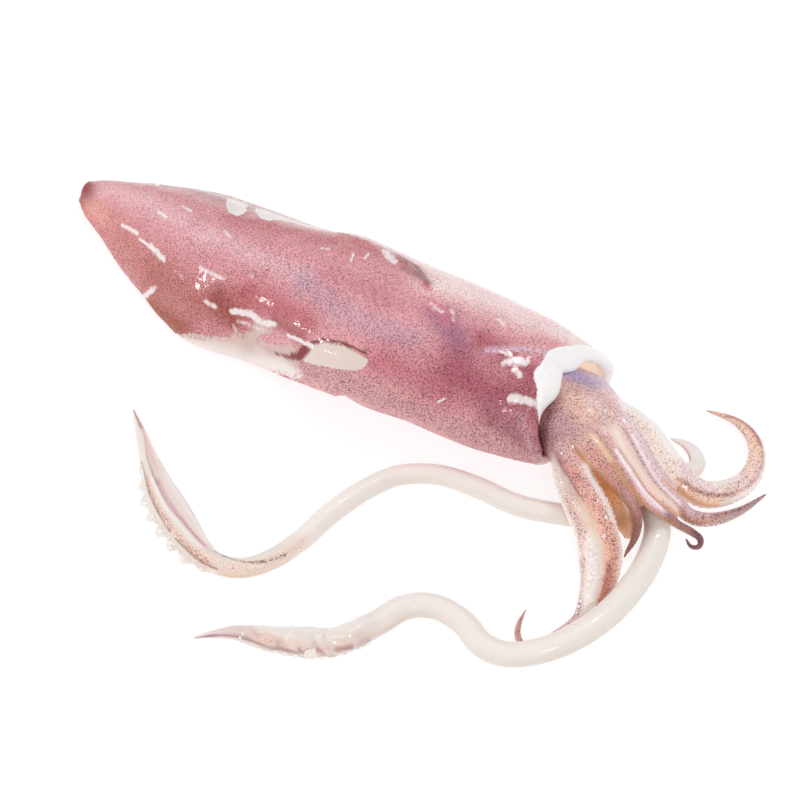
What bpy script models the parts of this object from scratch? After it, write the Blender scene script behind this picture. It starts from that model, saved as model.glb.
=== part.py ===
"""A whole raw squid that lies on its belly, with its arms and tentacles spread beside it.

The mantle is a tapering sleeve of muscle with a fin along each side and an open mouth, out of which
comes the head with its ring of eight arms. Two long tentacles leave the head between the arms and
end in flattened clubs. +X runs from the tail tip to the head, +Y is the squid's left, +Z is up, and
the origin is on the surface that it lies on, under the middle of its box."""

import math

import bpy
import bmesh
from mathutils import Vector

MM = 0.001

# Driving dimensions, in metres.
MANTLE_LENGTH = 0.200
MANTLE_WIDTH = 0.057
MANTLE_HEIGHT = 0.037
TAIL_ROUNDING = 0.002
FIN_LENGTH = 0.138
FIN_SPAN = 0.063
FIN_THICKNESS = 0.0026
FIN_BULGE = 0.12  # how far the fin arches up between root and edge, to its width
LEFT_FIN_CURL = 0.004  # how far the left fin's edge curls up off the table
ARCH_SHARES = (0.0, 0.30, 0.54, 0.72, 0.86)  # of the way out from the top to a fin's edge
ARCH_POWER = 2.1  # over 2, the back is rounder at its shoulders than a parabola
ARCH_ENDS = (0.080, 0.108)  # behind the first place the back is one arch from edge to edge
BELLY_SUNK = 0.06  # how much of its height the sleeve has lost where its weight flattens it
WALL = 0.0045  # the muscle of the mantle at its mouth
MOUTH_DEPTH = 0.030  # how far in the mouth ends in flesh
DORSAL_DIP = 0.010  # how far the rim falls back along the top
RIM_SLANT = 0.12  # how much further forward the rim is on the left than on the right, to its width
RIM_FROM = 0.75  # the share of the length behind which the slices stand straight again
HEAD_WIDTH = 0.034
HEAD_HEIGHT = 0.027

# The sleeve, as shares of MANTLE_LENGTH, half MANTLE_WIDTH and MANTLE_HEIGHT, and the sideways bend
# of its middle line as a share of MANTLE_WIDTH.
MANTLE_STATIONS = (
    (0.000, 0.12, 0.25, 0.045),
    (0.025, 0.21, 0.32, 0.045),
    (0.075, 0.31, 0.40, 0.045),
    (0.150, 0.42, 0.49, 0.035),
    (0.215, 0.51, 0.56, 0.018),
    (0.280, 0.60, 0.64, -0.018),
    (0.340, 0.68, 0.72, -0.040),
    (0.390, 0.74, 0.78, -0.030),
    (0.450, 0.81, 0.83, -0.008),
    (0.520, 0.89, 0.89, -0.010),
    (0.600, 0.96, 0.94, -0.045),
    (0.690, 1.00, 0.99, -0.075),
    (0.760, 0.98, 1.00, -0.055),
    (0.835, 0.96, 1.00, -0.045),
    (0.905, 0.93, 0.98, -0.035),
    (0.970, 0.85, 0.94, -0.020),
    (1.000, 0.79, 0.90, -0.010),
)

# The fins: distance from the tail tip as a share of FIN_LENGTH, the edge's distance from the middle
# line as a share of half FIN_SPAN, and its height as a share of MANTLE_HEIGHT.
FIN_STATIONS = (
    (0.00, 0.18, 0.10),
    (0.04, 0.29, 0.06),
    (0.11, 0.43, 0.04),
    (0.21, 0.65, 0.03),
    (0.31, 0.81, 0.03),
    (0.41, 0.93, 0.03),
    (0.50, 1.00, 0.03),
    (0.57, 1.00, 0.03),
    (0.65, 0.97, 0.04),
    (0.75, 0.94, 0.08),
    (0.86, 0.93, 0.22),
    (0.95, 0.96, 0.38),
    (1.00, 0.97, 0.44),
)

# The head from the end of its neck to the ring of arms: x, y, z of its middle and its two half sizes
# as shares of half HEAD_WIDTH and half HEAD_HEIGHT. Places are in millimetres from the tail tip.
HEAD_STATIONS = (
    (173, -0.5, 16.5, 0.50, 0.40),
    (180, -0.5, 16.5, 0.68, 0.62),
    (190, -1.0, 16.5, 0.80, 0.72),
    (198, -2.1, 16.1, 0.85, 0.78),
    (204, -3.8, 16.5, 0.97, 0.94),
    (210, -6.0, 16.3, 0.98, 0.93),
    (216, -6.6, 16.2, 0.80, 0.78),
    (220, -7.6, 15.5, 0.48, 0.45),
)

# The limbs' middle lines: x, y, z and radius in millimetres from the tail tip. Arms are numbered
# from the pair on top, which is the shortest, to the pair underneath.
ARM_ROUTES = {
    "arm_right_1": (
        (206, -11, 24, 4.0), (213, -16, 26, 3.7), (219, -19, 24, 3.3), (226, -20.5, 19.5, 2.5),
        (232, -22, 15, 1.8), (236, -24, 11, 1.4), (237.5, -28, 7, 1.2), (237, -34, 3, 0.4),
    ),
    "arm_right_2": (
        (203, -13, 20, 4.2), (208, -19.5, 22, 4.1), (216.5, -24.5, 19.5, 3.4), (225, -28.5, 15.5, 2.9),
        (230.5, -32.5, 11, 2.8), (235, -37, 6, 2.7), (236.6, -42.5, 3.8, 2.3), (236.4, -48, 2.8, 1.7),
        (235.5, -53.5, 1.6, 0.6),
    ),
    "arm_right_3": (
        (202, -12.5, 14, 4.2), (206, -18.3, 16.5, 4.1), (211, -23.5, 14.5, 3.6), (217.5, -29.3, 12, 3.4),
        (223.5, -34.5, 9, 3.5), (228.5, -40, 5.4, 3.6), (232.4, -46.5, 3.8, 3.4), (234.2, -53, 3.0, 2.9),
        (234.4, -59.6, 2.0, 1.9), (231.7, -66.4, 1.6, 1.5), (228.4, -71.9, 1.4, 1.3),
        (224.6, -75.6, 1.2, 1.1), (221.2, -74.3, 1.3, 1.2), (219.3, -69.8, 1.3, 1.0), (218.9, -63.5, 0.8, 0.35),
    ),
    "arm_right_4": (
        (207, -8, 9, 4.4), (214, -6.5, 6.5, 4.0), (221, -4.5, 4.2, 3.4), (227, -3.3, 3.0, 2.8),
        (233, -2.8, 2.2, 2.1), (238, -3, 1.5, 1.4), (242, -4.5, 1.0, 0.4),
    ),
    "arm_left_1": (
        (207, -5, 24, 3.9), (214, -9.6, 26, 3.4), (221, -14.3, 25, 2.5), (228.6, -17.1, 21.5, 2.0),
        (235.4, -19.5, 17.5, 1.9), (241.2, -19.3, 13.5, 1.7), (247, -17.3, 8, 1.4),
        (251.5, -14.8, 3.4, 1.3), (254.8, -14.7, 1.8, 1.1), (255.5, -17.3, 1.4, 0.9),
        (253.2, -18.4, 1.2, 0.7), (250.7, -16.5, 1.1, 0.4),
    ),
    "arm_left_2": (
        (209, 0, 23, 4.0), (218, -3, 24, 3.4), (224.5, -6.4, 22.3, 2.9), (230.8, -9.6, 19, 2.5),
        (237.4, -11.8, 15.4, 2.4), (243.6, -11.6, 10.6, 2.2), (248.5, -10.5, 4.8, 2.4), (255, -7, 2.9, 2.2),
        (261.5, 1.5, 1.8, 1.4), (266, 12, 0.9, 0.4),
    ),
    "arm_left_3": (
        (206, 4.0, 18.5, 4.4), (216, 3.8, 19.4, 4.0), (224.3, 3.3, 17, 3.9), (232, 0.6, 12.5, 4.1),
        (240.8, -2.2, 8, 4.3), (248.8, -2, 5, 4.3), (255, 2.8, 4.2, 4.0), (259, 10.4, 3.6, 3.5),
        (259.2, 18.4, 3.1, 3.0), (256.5, 25.3, 2.6, 2.5), (251.5, 30.4, 2.1, 2.0),
        (244.8, 32.8, 1.6, 1.3), (235.5, 32.2, 1.0, 0.4),
    ),
    "arm_left_4": (
        (206, 2, 10, 4.4), (214, 4, 8, 4.0), (223, 5.0, 6, 3.4), (232.5, 4.2, 4, 3.2),
        (240, 4.3, 3.0, 2.9), (242.8, 8.5, 2.8, 2.7), (240.3, 13, 2.4, 2.3), (235.6, 15.5, 1.7, 1.5),
        (230, 15.7, 1.0, 0.4),
    ),
}

TENTACLE_ROUTES = {
    "tentacle_right": (
        (221.5, -12.8, 8.5, 3.3), (226.5, -15, 5.6, 3.4), (231.3, -18, 3.6, 3.5), (227.8, -24, 3.4, 3.5),
        (216.5, -28.8, 3.3, 3.5), (199, -32.3, 3.3, 3.5), (185.3, -34, 3.3, 3.5), (172.3, -37.2, 3.2, 3.4),
        (161, -44, 3.2, 3.4), (154.4, -54.5, 3.3, 3.5), (149.5, -68, 3.4, 3.6), (146.7, -81, 3.3, 3.5),
        (142.3, -91.6, 3.1, 3.3), (135.5, -99, 3.1, 3.2), (124.3, -101.3, 3.2, 3.4), (109.5, -96.6, 3.6, 3.8),
        (98.5, -90.6, 3.3, 3.5), (89, -82.4, 2.6, 2.7), (78.5, -73, 1.6, 1.7), (70.5, -66.4, 0.8, 0.5),
    ),
    "tentacle_left": (
        (224, -5.5, 11.5, 3.4), (232.3, -9.5, 9.0, 3.9), (239.5, -16.6, 5.6, 4.2), (243.3, -24.3, 4.3, 4.3),
        (244.5, -38.2, 4.4, 4.3), (241.8, -56.8, 6.4, 4.2), (234.3, -72.1, 6.2, 4.0),
        (223.9, -81.3, 4.3, 3.9), (214.5, -83.4, 3.9, 4.0), (204.6, -79.7, 3.9, 4.0),
        (195, -79.5, 3.8, 3.9), (187.2, -84.5, 3.8, 3.9),
        (182.4, -94, 3.8, 3.9), (176, -104, 4.0, 4.1), (167.4, -110.2, 4.1, 4.2), (157.4, -114.3, 3.5, 3.6),
        (148.3, -117, 2.3, 2.4), (141.5, -120.8, 1.3, 1.3), (136.5, -125, 0.8, 0.4),
    ),
}

FLESH = {
    "mantle": ((0.46, 0.18, 0.20, 1.0), 0.35),
    "head_and_arms": ((0.62, 0.40, 0.36, 1.0), 0.35),
    "tentacle_right": ((0.80, 0.72, 0.66, 1.0), 0.30),
    "tentacle_left": ((0.80, 0.72, 0.66, 1.0), 0.30),
}

MANTLE_SLICES = 34
TAIL_CROWDING = 1.2  # over 1, the slices lie closer together towards the tail
TAIL_TURNS = (25, 60)  # degrees round the tail's end from its tip to the first slice
LIP_TURNS = (50, 90, 130, 180)  # degrees round the lip from the outside to the inside
MOUTH_RINGS = ((0.35, 1.0), (0.7, 1.15), (0.92, 1.6), (1.0, 2.4))  # shares of MOUTH_DEPTH and WALL
SLEEVE_TOP = (90, 66, 44, 26)  # degrees round half a slice, from the top to the fin
SLEEVE_SIDE = (16, 8, 2, -4, -10)  # where the fin stands, and plain skin in front of it
SLEEVE_BELLY = (-18, -42, -64)
FIN_ROOT = (26, -12)
FIN_FADE = 0.05  # the share of its length over which the fin's front end runs into the sleeve
SECTION_STEPS = (2, 2, 1, 1, 1, 1, 1, 1, 1, 1, 1, 1)  # pieces between the knots of half a section
ARM_SIDES = 8
ARM_SPACING = 1.1  # from ring to ring along an arm, to its radius
TENTACLE_SIDES = 9
TENTACLE_SPACING = 1.3
MOST_STEPS = 4  # rings between two points of a limb's middle line
HEAD_SIDES = 20


def between(rows, at):
    """The row of a table at this value of its first column, on a smooth curve through the rows."""
    last = len(rows) - 2
    i = min(max(sum(row[0] <= at for row in rows) - 1, 0), last)
    before, start, end, after = rows[max(i - 1, 0)], rows[i], rows[i + 1], rows[min(i + 2, last + 1)]
    width = end[0] - start[0]
    t = min(max((at - start[0]) / width, 0), 1)
    values = []
    for a, b, c, d in zip(before[1:], start[1:], end[1:], after[1:]):
        rise = (c - a) * width / (end[0] - before[0])
        fall = (d - b) * width / (after[0] - start[0])
        values.append(
            (2 * t**3 - 3 * t**2 + 1) * b + (t**3 - 2 * t**2 + t) * rise
            + (3 * t**2 - 2 * t**3) * c + (t**3 - t**2) * fall
        )
    return values


def through(knots, steps):
    """Points on a smooth curve through the knots, with this many pieces between each two."""
    rows = [(i, *knot) for i, knot in enumerate(knots)]
    points = []
    for i, count in enumerate(steps):
        points += [between(rows, i + k / count) for k in range(count)]
    return points + [list(knots[-1])]


def loft(rings):
    """A closed mesh through rings of equal length, whose ends close on a point in their middle."""
    mesh = bmesh.new()
    made = [[mesh.verts.new(point) for point in ring] for ring in rings]
    for one, two in zip(made, made[1:]):
        for k, vertex in enumerate(one):
            mesh.faces.new((one[k - 1], vertex, two[k], two[k - 1]))
    for ring in (made[0], made[-1]):
        tip = mesh.verts.new(sum((v.co for v in ring), Vector()) / len(ring))
        for k, vertex in enumerate(ring):
            mesh.faces.new((ring[k - 1], vertex, tip))
    bmesh.ops.recalc_face_normals(mesh, faces=mesh.faces)
    return mesh


def flesh(name, mesh):
    """The object of a bmesh, smooth and in the colour of its flesh."""
    data = bpy.data.meshes.new(name)
    mesh.to_mesh(data)
    mesh.free()
    data.shade_smooth()
    colour, roughness = FLESH[name]
    material = bpy.data.materials.new(name)
    material.use_nodes = True
    shader = material.node_tree.nodes["Principled BSDF"]
    shader.inputs["Base Color"].default_value = colour
    shader.inputs["Roughness"].default_value = roughness
    shader.inputs["Metallic"].default_value = 0
    data.materials.append(material)
    made = bpy.data.objects.new(name, data)
    bpy.context.collection.objects.link(made)
    made.parent = squid
    return made


def half_section(x, curl):
    """Knots (sideways, up) of one half of the sleeve at x, from the top round the fin to the belly."""
    half, height, _ = between(MANTLE_STATIONS, x / MANTLE_LENGTH)
    half *= MANTLE_WIDTH / 2
    height *= MANTLE_HEIGHT
    upright = (1 + BELLY_SUNK) * height / 2

    def sleeve(degrees):
        a = math.radians(degrees)
        return Vector((half * math.cos(a), max(height - upright + upright * math.sin(a), 0)))

    along = x / FIN_LENGTH
    span, lift = between(FIN_STATIONS, min(along, 1))
    edge = Vector((span * FIN_SPAN / 2, lift * MANTLE_HEIGHT + curl * math.sin(math.pi * min(along, 1))))
    out = min(max((1 - along) / FIN_FADE, 0), 1)
    root = (sleeve(FIN_ROOT[0]) + sleeve(FIN_ROOT[1])) / 2
    rise = (edge - root).orthogonal().normalized() * FIN_THICKNESS / 2
    rise *= 1 if rise.y > 0 else -1
    bulge = Vector((0, FIN_BULGE * (edge - root).length))
    flap = (
        root.lerp(edge, 0.5) + rise + bulge,
        root.lerp(edge, 0.93) + rise * 0.7,
        edge,
        root.lerp(edge, 0.93) - rise * 0.5,
        root.lerp(edge, 0.5) - rise + bulge * 0.5,
    )
    knots = [sleeve(degrees) for degrees in SLEEVE_TOP]
    knots += [sleeve(degrees).lerp(point, out) for degrees, point in zip(SLEEVE_SIDE, flap)]
    knots += [sleeve(degrees) for degrees in SLEEVE_BELLY]
    knots.append(Vector((0, 0)))
    arch = min(max((ARCH_ENDS[1] - x) / (ARCH_ENDS[1] - ARCH_ENDS[0]), 0), 1)
    for k, share in enumerate(ARCH_SHARES):
        up = edge.y + (height - edge.y) * (1 - share**ARCH_POWER)
        knots[k] = knots[k].lerp(Vector((edge.x * share, up)), arch)
    for knot in knots:
        knot.y = max(knot.y, 0)
    return knots


def section(x, inset=0.0):
    """A whole slice of the mantle across x, drawn in by inset all round."""
    bend = between(MANTLE_STATIONS, x / MANTLE_LENGTH)[2] * MANTLE_WIDTH
    right, left = (
        through([tuple(knot) for knot in half_section(x, curl)], SECTION_STEPS) for curl in (0, LEFT_FIN_CURL)
    )
    middle = max(z for _, z in right) / 2
    points = [(-y, z) for y, z in right] + [(y, z) for y, z in reversed(left[1:-1])]
    ring = []
    for y, z in points:
        reach = math.hypot(y, z - middle)
        shrink = 1 - inset / reach
        y, z = y * shrink, middle + (z - middle) * shrink
        upper = max((z - middle) / middle, 0)
        near_rim = max((x / MANTLE_LENGTH - RIM_FROM) / (1 - RIM_FROM), 0) ** 2
        ahead = (RIM_SLANT * y - DORSAL_DIP * upper) * near_rim
        ring.append((x + ahead, y + bend, max(z, 0)))
    return ring


def mantle():
    """The sleeve from the tail to the rim, round the thick lip and down the inside of the mouth."""
    tail = section(0)
    middle = sum((Vector(point) for point in tail), Vector()) / len(tail)
    rings = []
    for turn in TAIL_TURNS:
        a = math.radians(turn)
        back = Vector((-TAIL_ROUNDING * math.cos(a), 0, 0))
        rings.append([middle.lerp(Vector(point), math.sin(a)) + back for point in tail])
    outside = [MANTLE_LENGTH * (k / MANTLE_SLICES) ** TAIL_CROWDING for k in range(MANTLE_SLICES + 1)]
    rings += [section(x) for x in outside]
    for turn in LIP_TURNS:
        a = math.radians(turn)
        inset = WALL / 2 * (1 - math.cos(a))
        rings.append([(p[0] + WALL / 2 * math.sin(a), *p[1:]) for p in section(MANTLE_LENGTH, inset)])
    for share, inset in MOUTH_RINGS:
        rings.append(section(MANTLE_LENGTH - share * MOUTH_DEPTH, inset * WALL))
    flesh("mantle", loft(rings))


def tube(route, sides, spacing):
    """A round limb along its route, with a ring for each spacing of its radius and a closed tip."""
    points = [Vector(row[:3]) * MM for row in route]
    gaps = [(b - a).length for a, b in zip(points, points[1:])]
    steps = [max(round(gap / (spacing * row[3] * MM)), 1) for gap, row in zip(gaps, route)]
    steps = [min(step, MOST_STEPS) for step in steps]
    line = through([tuple(value * MM for value in row) for row in route], steps)
    rings = []
    across = None
    for i, row in enumerate(line):
        here = Vector(row[:3])
        ahead = Vector(line[min(i + 1, len(line) - 1)][:3]) - Vector(line[max(i - 1, 0)][:3])
        ahead.normalize()
        start = across or Vector((0, 0, 1)).cross(ahead)
        across = (start - ahead * start.dot(ahead)).normalized()
        up = ahead.cross(across)
        ring = []
        for k in range(sides):
            a = 2 * math.pi * k / sides
            point = here + (across * math.cos(a) + up * math.sin(a)) * row[3]
            point.z = max(point.z, 0)
            ring.append(point)
        rings.append(ring)
    return loft(rings)


def head_and_arms():
    """The head as a lofted egg on a neck, and the arms joined to it."""
    rings = []
    for x, y, z, wide, high in through(HEAD_STATIONS, (1,) + (2,) * (len(HEAD_STATIONS) - 2)):
        ring = []
        for k in range(HEAD_SIDES):
            a = 2 * math.pi * k / HEAD_SIDES
            side = wide * HEAD_WIDTH / 2 * math.cos(a)
            up = high * HEAD_HEIGHT / 2 * math.sin(a)
            ring.append((x * MM, y * MM + side, z * MM + up))
        rings.append(ring)
    head = flesh("head_and_arms", loft(rings))
    for name, route in ARM_ROUTES.items():
        data = bpy.data.meshes.new(name)
        mesh = tube(route, ARM_SIDES, ARM_SPACING)
        mesh.to_mesh(data)
        mesh.free()
        arm = bpy.data.objects.new(name, data)
        bpy.context.collection.objects.link(arm)
        arm.parent = squid
        arm.hide_render = True
        arm.display_type = "WIRE"
        union = head.modifiers.new(name, "BOOLEAN")
        union.operation = "UNION"
        union.object = arm


for old in list(bpy.data.objects):
    bpy.data.objects.remove(old)
squid = bpy.data.objects.new("squid", None)
bpy.context.collection.objects.link(squid)

mantle()
head_and_arms()
for name, route in TENTACLE_ROUTES.items():
    flesh(name, tube(route, TENTACLE_SIDES, TENTACLE_SPACING))

corners = [v.co for made in squid.children for v in made.data.vertices]
low = [min(corner[axis] for corner in corners) for axis in range(3)]
high = [max(corner[axis] for corner in corners) for axis in range(3)]
squid.location = (-(low[0] + high[0]) / 2, -(low[1] + high[1]) / 2, -low[2])
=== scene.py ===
"""A whole raw squid on a white table. Its spotted mantle lies on its belly with the head in its open
mouth, the arms curl forwards, and two long pale tentacles wander over the table to their clubs."""

import itertools
import math

import bpy
import numpy as np
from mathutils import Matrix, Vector
from mathutils.bvhtree import BVHTree


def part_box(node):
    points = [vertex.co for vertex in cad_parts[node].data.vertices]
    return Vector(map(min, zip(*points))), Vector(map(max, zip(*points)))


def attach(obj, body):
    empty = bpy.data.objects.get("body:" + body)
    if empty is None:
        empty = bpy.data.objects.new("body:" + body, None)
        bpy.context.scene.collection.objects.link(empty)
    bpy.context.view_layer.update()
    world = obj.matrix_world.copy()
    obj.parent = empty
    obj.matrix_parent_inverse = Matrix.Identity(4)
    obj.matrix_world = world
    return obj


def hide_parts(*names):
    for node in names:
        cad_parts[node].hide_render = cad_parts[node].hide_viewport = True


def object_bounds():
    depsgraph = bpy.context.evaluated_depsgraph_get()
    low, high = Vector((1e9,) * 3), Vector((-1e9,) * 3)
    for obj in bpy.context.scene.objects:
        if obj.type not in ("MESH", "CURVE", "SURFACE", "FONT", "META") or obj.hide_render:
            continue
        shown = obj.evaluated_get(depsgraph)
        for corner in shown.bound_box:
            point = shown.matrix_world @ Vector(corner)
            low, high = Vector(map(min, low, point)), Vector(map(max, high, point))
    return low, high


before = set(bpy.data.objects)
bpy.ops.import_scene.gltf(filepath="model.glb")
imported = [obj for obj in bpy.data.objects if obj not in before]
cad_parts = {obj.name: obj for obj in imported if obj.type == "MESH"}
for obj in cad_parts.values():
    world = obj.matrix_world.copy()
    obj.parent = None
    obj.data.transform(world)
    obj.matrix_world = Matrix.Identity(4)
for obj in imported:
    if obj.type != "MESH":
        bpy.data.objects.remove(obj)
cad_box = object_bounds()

# The table, the camera and the light. A white board that glows a little lies under the squid, and
# broad lamps hang round it, so the wet skin shines in short streaks and hardly a shadow falls.
TABLE_SIDE, TABLE_DROP = 6.0, 0.0002
TABLE_WHITE = (0.32, 0.32, 0.32, 1.0)
WHITE_LIGHT = (1.0, 1.0, 1.0, 1.0)
ROOM_LIGHT, BOARD_GLOW, BOARD_ROUGHNESS = 0.66, 0.75, 0.6
CAMERA_AZIMUTH, CAMERA_ELEVATION = 30.86, 55.0
CAMERA_DISTANCE, LENS, SENSOR_WIDTH = 0.52617, 70.0, 36.0
TAIL_TO_AIM = Vector((0.1448, -0.0163, 0))
TAIL_END = 0.00181  # how far the closed end of the tail reaches behind the first slice
TAIL_TO_LEFT = 0.0340  # from the middle of the tail to the left side of the squid's box
# Lamps: azimuth and elevation in degrees, distance and sides in metres, and watts.
LAMPS = {
    "window lamp": (-52.0, 21.0, 1.2, (0.14, 0.10), 2.6),
    "top lamp": (170.0, 68.0, 1.2, (0.14, 0.10), 2.4),
    "ridge lamp": (45.0, 48.0, 1.2, (0.22, 0.07), 1.6),
}

tail = Vector((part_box("mantle")[0].x + TAIL_END, cad_box[1].y - TAIL_TO_LEFT, 0))
aim = tail + TAIL_TO_AIM


def away(azimuth, elevation, distance):
    """The place at this distance from the aim, in this direction from it."""
    a, e = math.radians(azimuth), math.radians(elevation)
    return aim + distance * Vector((math.sin(a) * math.cos(e), -math.cos(a) * math.cos(e), math.sin(e)))


def placed(name, data):
    """A new object of this name, put in the scene."""
    made = bpy.data.objects.new(name, data)
    bpy.context.scene.collection.objects.link(made)
    return made


def aimed(name, data, place):
    """An object at this place that looks at the aim."""
    made = placed(name, data)
    made.location = place
    made.rotation_euler = (aim - place).to_track_quat("-Z", "Y").to_euler()
    return made


def lamp(name, azimuth, elevation, distance, size, watts):
    """A rectangular softbox that shines on the squid."""
    data = bpy.data.lights.new(name, "AREA")
    data.shape = "RECTANGLE"
    data.size, data.size_y = size
    data.energy = watts
    return aimed(name, data, away(azimuth, elevation, distance))


lens = bpy.data.cameras.new("camera")
lens.lens, lens.sensor_width = LENS, SENSOR_WIDTH
lens.clip_start, lens.clip_end = 0.01, 20.0
bpy.context.scene.camera = aimed("camera", lens, away(CAMERA_AZIMUTH, CAMERA_ELEVATION, CAMERA_DISTANCE))
for name, values in LAMPS.items():
    lamp(name, *values)

world = bpy.data.worlds.new("studio")
world.use_nodes = True
room = world.node_tree.nodes["Background"].inputs
room["Color"].default_value = WHITE_LIGHT
room["Strength"].default_value = ROOM_LIGHT
bpy.context.scene.world = world
bpy.context.scene.view_settings.view_transform = "Standard"

bpy.ops.mesh.primitive_plane_add(size=TABLE_SIDE, location=(aim.x, aim.y, -TABLE_DROP))
table = bpy.context.object
table.name = "table"
board = bpy.data.materials.new("white board")
board.use_nodes = True
board_values = board.node_tree.nodes["Principled BSDF"].inputs
board_values["Base Color"].default_value = TABLE_WHITE
board_values["Roughness"].default_value = BOARD_ROUGHNESS
board_values["Emission Color"].default_value = WHITE_LIGHT
board_values["Emission Strength"].default_value = BOARD_GLOW
table.data.materials.append(board)

# The mantle. It is a tapering sleeve of white muscle under a thin spotted skin, with a fin along each
# side at the back. Its mouth ends in a thick bare lip, and the skin is torn at the fins.
MANTLE_LENGTH, MANTLE_WIDTH, MANTLE_HEIGHT = 0.200, 0.057, 0.037
FIN_LENGTH, FIN_SPAN, FIN_THICKNESS, FIN_BULGE = 0.138, 0.063, 0.0026, 0.12
LEFT_FIN_CURL = 0.004
FIN_FADE = 0.05
ARCH_SHARES = (0.0, 0.30, 0.54, 0.72, 0.86)  # of the way out from the top to a fin's edge
ARCH_POWER = 2.1  # over 2, the back is rounder at its shoulders than a parabola
ARCH_ENDS = (0.080, 0.108)  # behind the first place the back is one arch from edge to edge
BELLY_SUNK = 0.06
TAIL_ROUNDING = 0.002
WALL, MOUTH_DEPTH, DORSAL_DIP = 0.0045, 0.030, 0.010
RIM_SLANT, RIM_FROM = 0.12, 0.75
SLICES, TAIL_CROWDING = 440, 1.05
HALF_STEPS = (13, 12, 10, 12, 10, 5, 5, 6, 6, 5, 5, 6)  # pieces between the knots of half a slice
OVER_FIN, BESIDE_FIN, UNDER_FIN = (90, 66, 44, 26), (16, 8, 2, -4, -10), (-18, -42, -64)  # degrees round it
FIN_ROOT = (26, -12)  # the degrees between which a fin grows from the sleeve
TAIL_TURNS = (12, 25, 38, 50, 62, 75)  # the degrees of the rings that close the tail
LIP_RINGS, WALL_RINGS = 14, 13
MOUTH_WALL = ((0, 0.35, 0.7, 0.92, 1.0), (1.0, 1.0, 1.15, 1.6, 2.4))  # shares of MOUTH_DEPTH, and of WALL

# Along the mantle: share of its length, half width, height and sideways bend, as shares of its own.
MANTLE_STATIONS = (
    (0.000, 0.12, 0.25, 0.045), (0.025, 0.21, 0.32, 0.045), (0.075, 0.31, 0.40, 0.045),
    (0.150, 0.42, 0.49, 0.035), (0.215, 0.51, 0.56, 0.018), (0.280, 0.60, 0.64, -0.018),
    (0.340, 0.68, 0.72, -0.040), (0.390, 0.74, 0.78, -0.030), (0.450, 0.81, 0.83, -0.008),
    (0.520, 0.89, 0.89, -0.010), (0.600, 0.96, 0.94, -0.045), (0.690, 1.00, 0.99, -0.075),
    (0.760, 0.98, 1.00, -0.055), (0.835, 0.96, 1.00, -0.045), (0.905, 0.93, 0.98, -0.035),
    (0.970, 0.85, 0.94, -0.020), (1.000, 0.79, 0.90, -0.010),
)
# Along a fin: share of its length, its edge's reach as a share of half the span, and its height.
FIN_STATIONS = (
    (0.00, 0.18, 0.10), (0.04, 0.29, 0.06), (0.11, 0.43, 0.04), (0.21, 0.65, 0.03), (0.31, 0.81, 0.03),
    (0.41, 0.93, 0.03), (0.50, 1.00, 0.03), (0.57, 1.00, 0.03), (0.65, 0.97, 0.04), (0.75, 0.94, 0.08),
    (0.86, 0.93, 0.22), (0.95, 0.96, 0.38), (1.00, 0.97, 0.44),
)


def smooth(places, values, at):
    """The values at each of at, on a smooth curve through the values that stand at these places."""
    places, values, at = np.asarray(places, float), np.asarray(values, float), np.asarray(at, float)
    last = len(places) - 1
    i = np.clip(np.searchsorted(places, at, side="right") - 1, 0, last - 1)
    before, after = np.maximum(i - 1, 0), np.minimum(i + 2, last)
    width = places[i + 1] - places[i]
    t = np.clip((at - places[i]) / width, 0, 1)
    t, width, spread_a, spread_b = (
        part.reshape(part.shape + (1,) * (values.ndim - 1))
        for part in (t, width, places[i + 1] - places[before], places[after] - places[i])
    )
    rise = (values[i + 1] - values[before]) * width / spread_a
    fall = (values[after] - values[i]) * width / spread_b
    return (
        (2 * t**3 - 3 * t**2 + 1) * values[i] + (t**3 - 2 * t**2 + t) * rise
        + (3 * t**2 - 2 * t**3) * values[i + 1] + (t**3 - t**2) * fall
    )


def table_at(rows, at):
    """The columns after the first of a table, at these values of its first column."""
    rows = np.array(rows)
    return smooth(rows[:, 0], rows[:, 1:], at).T


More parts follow.
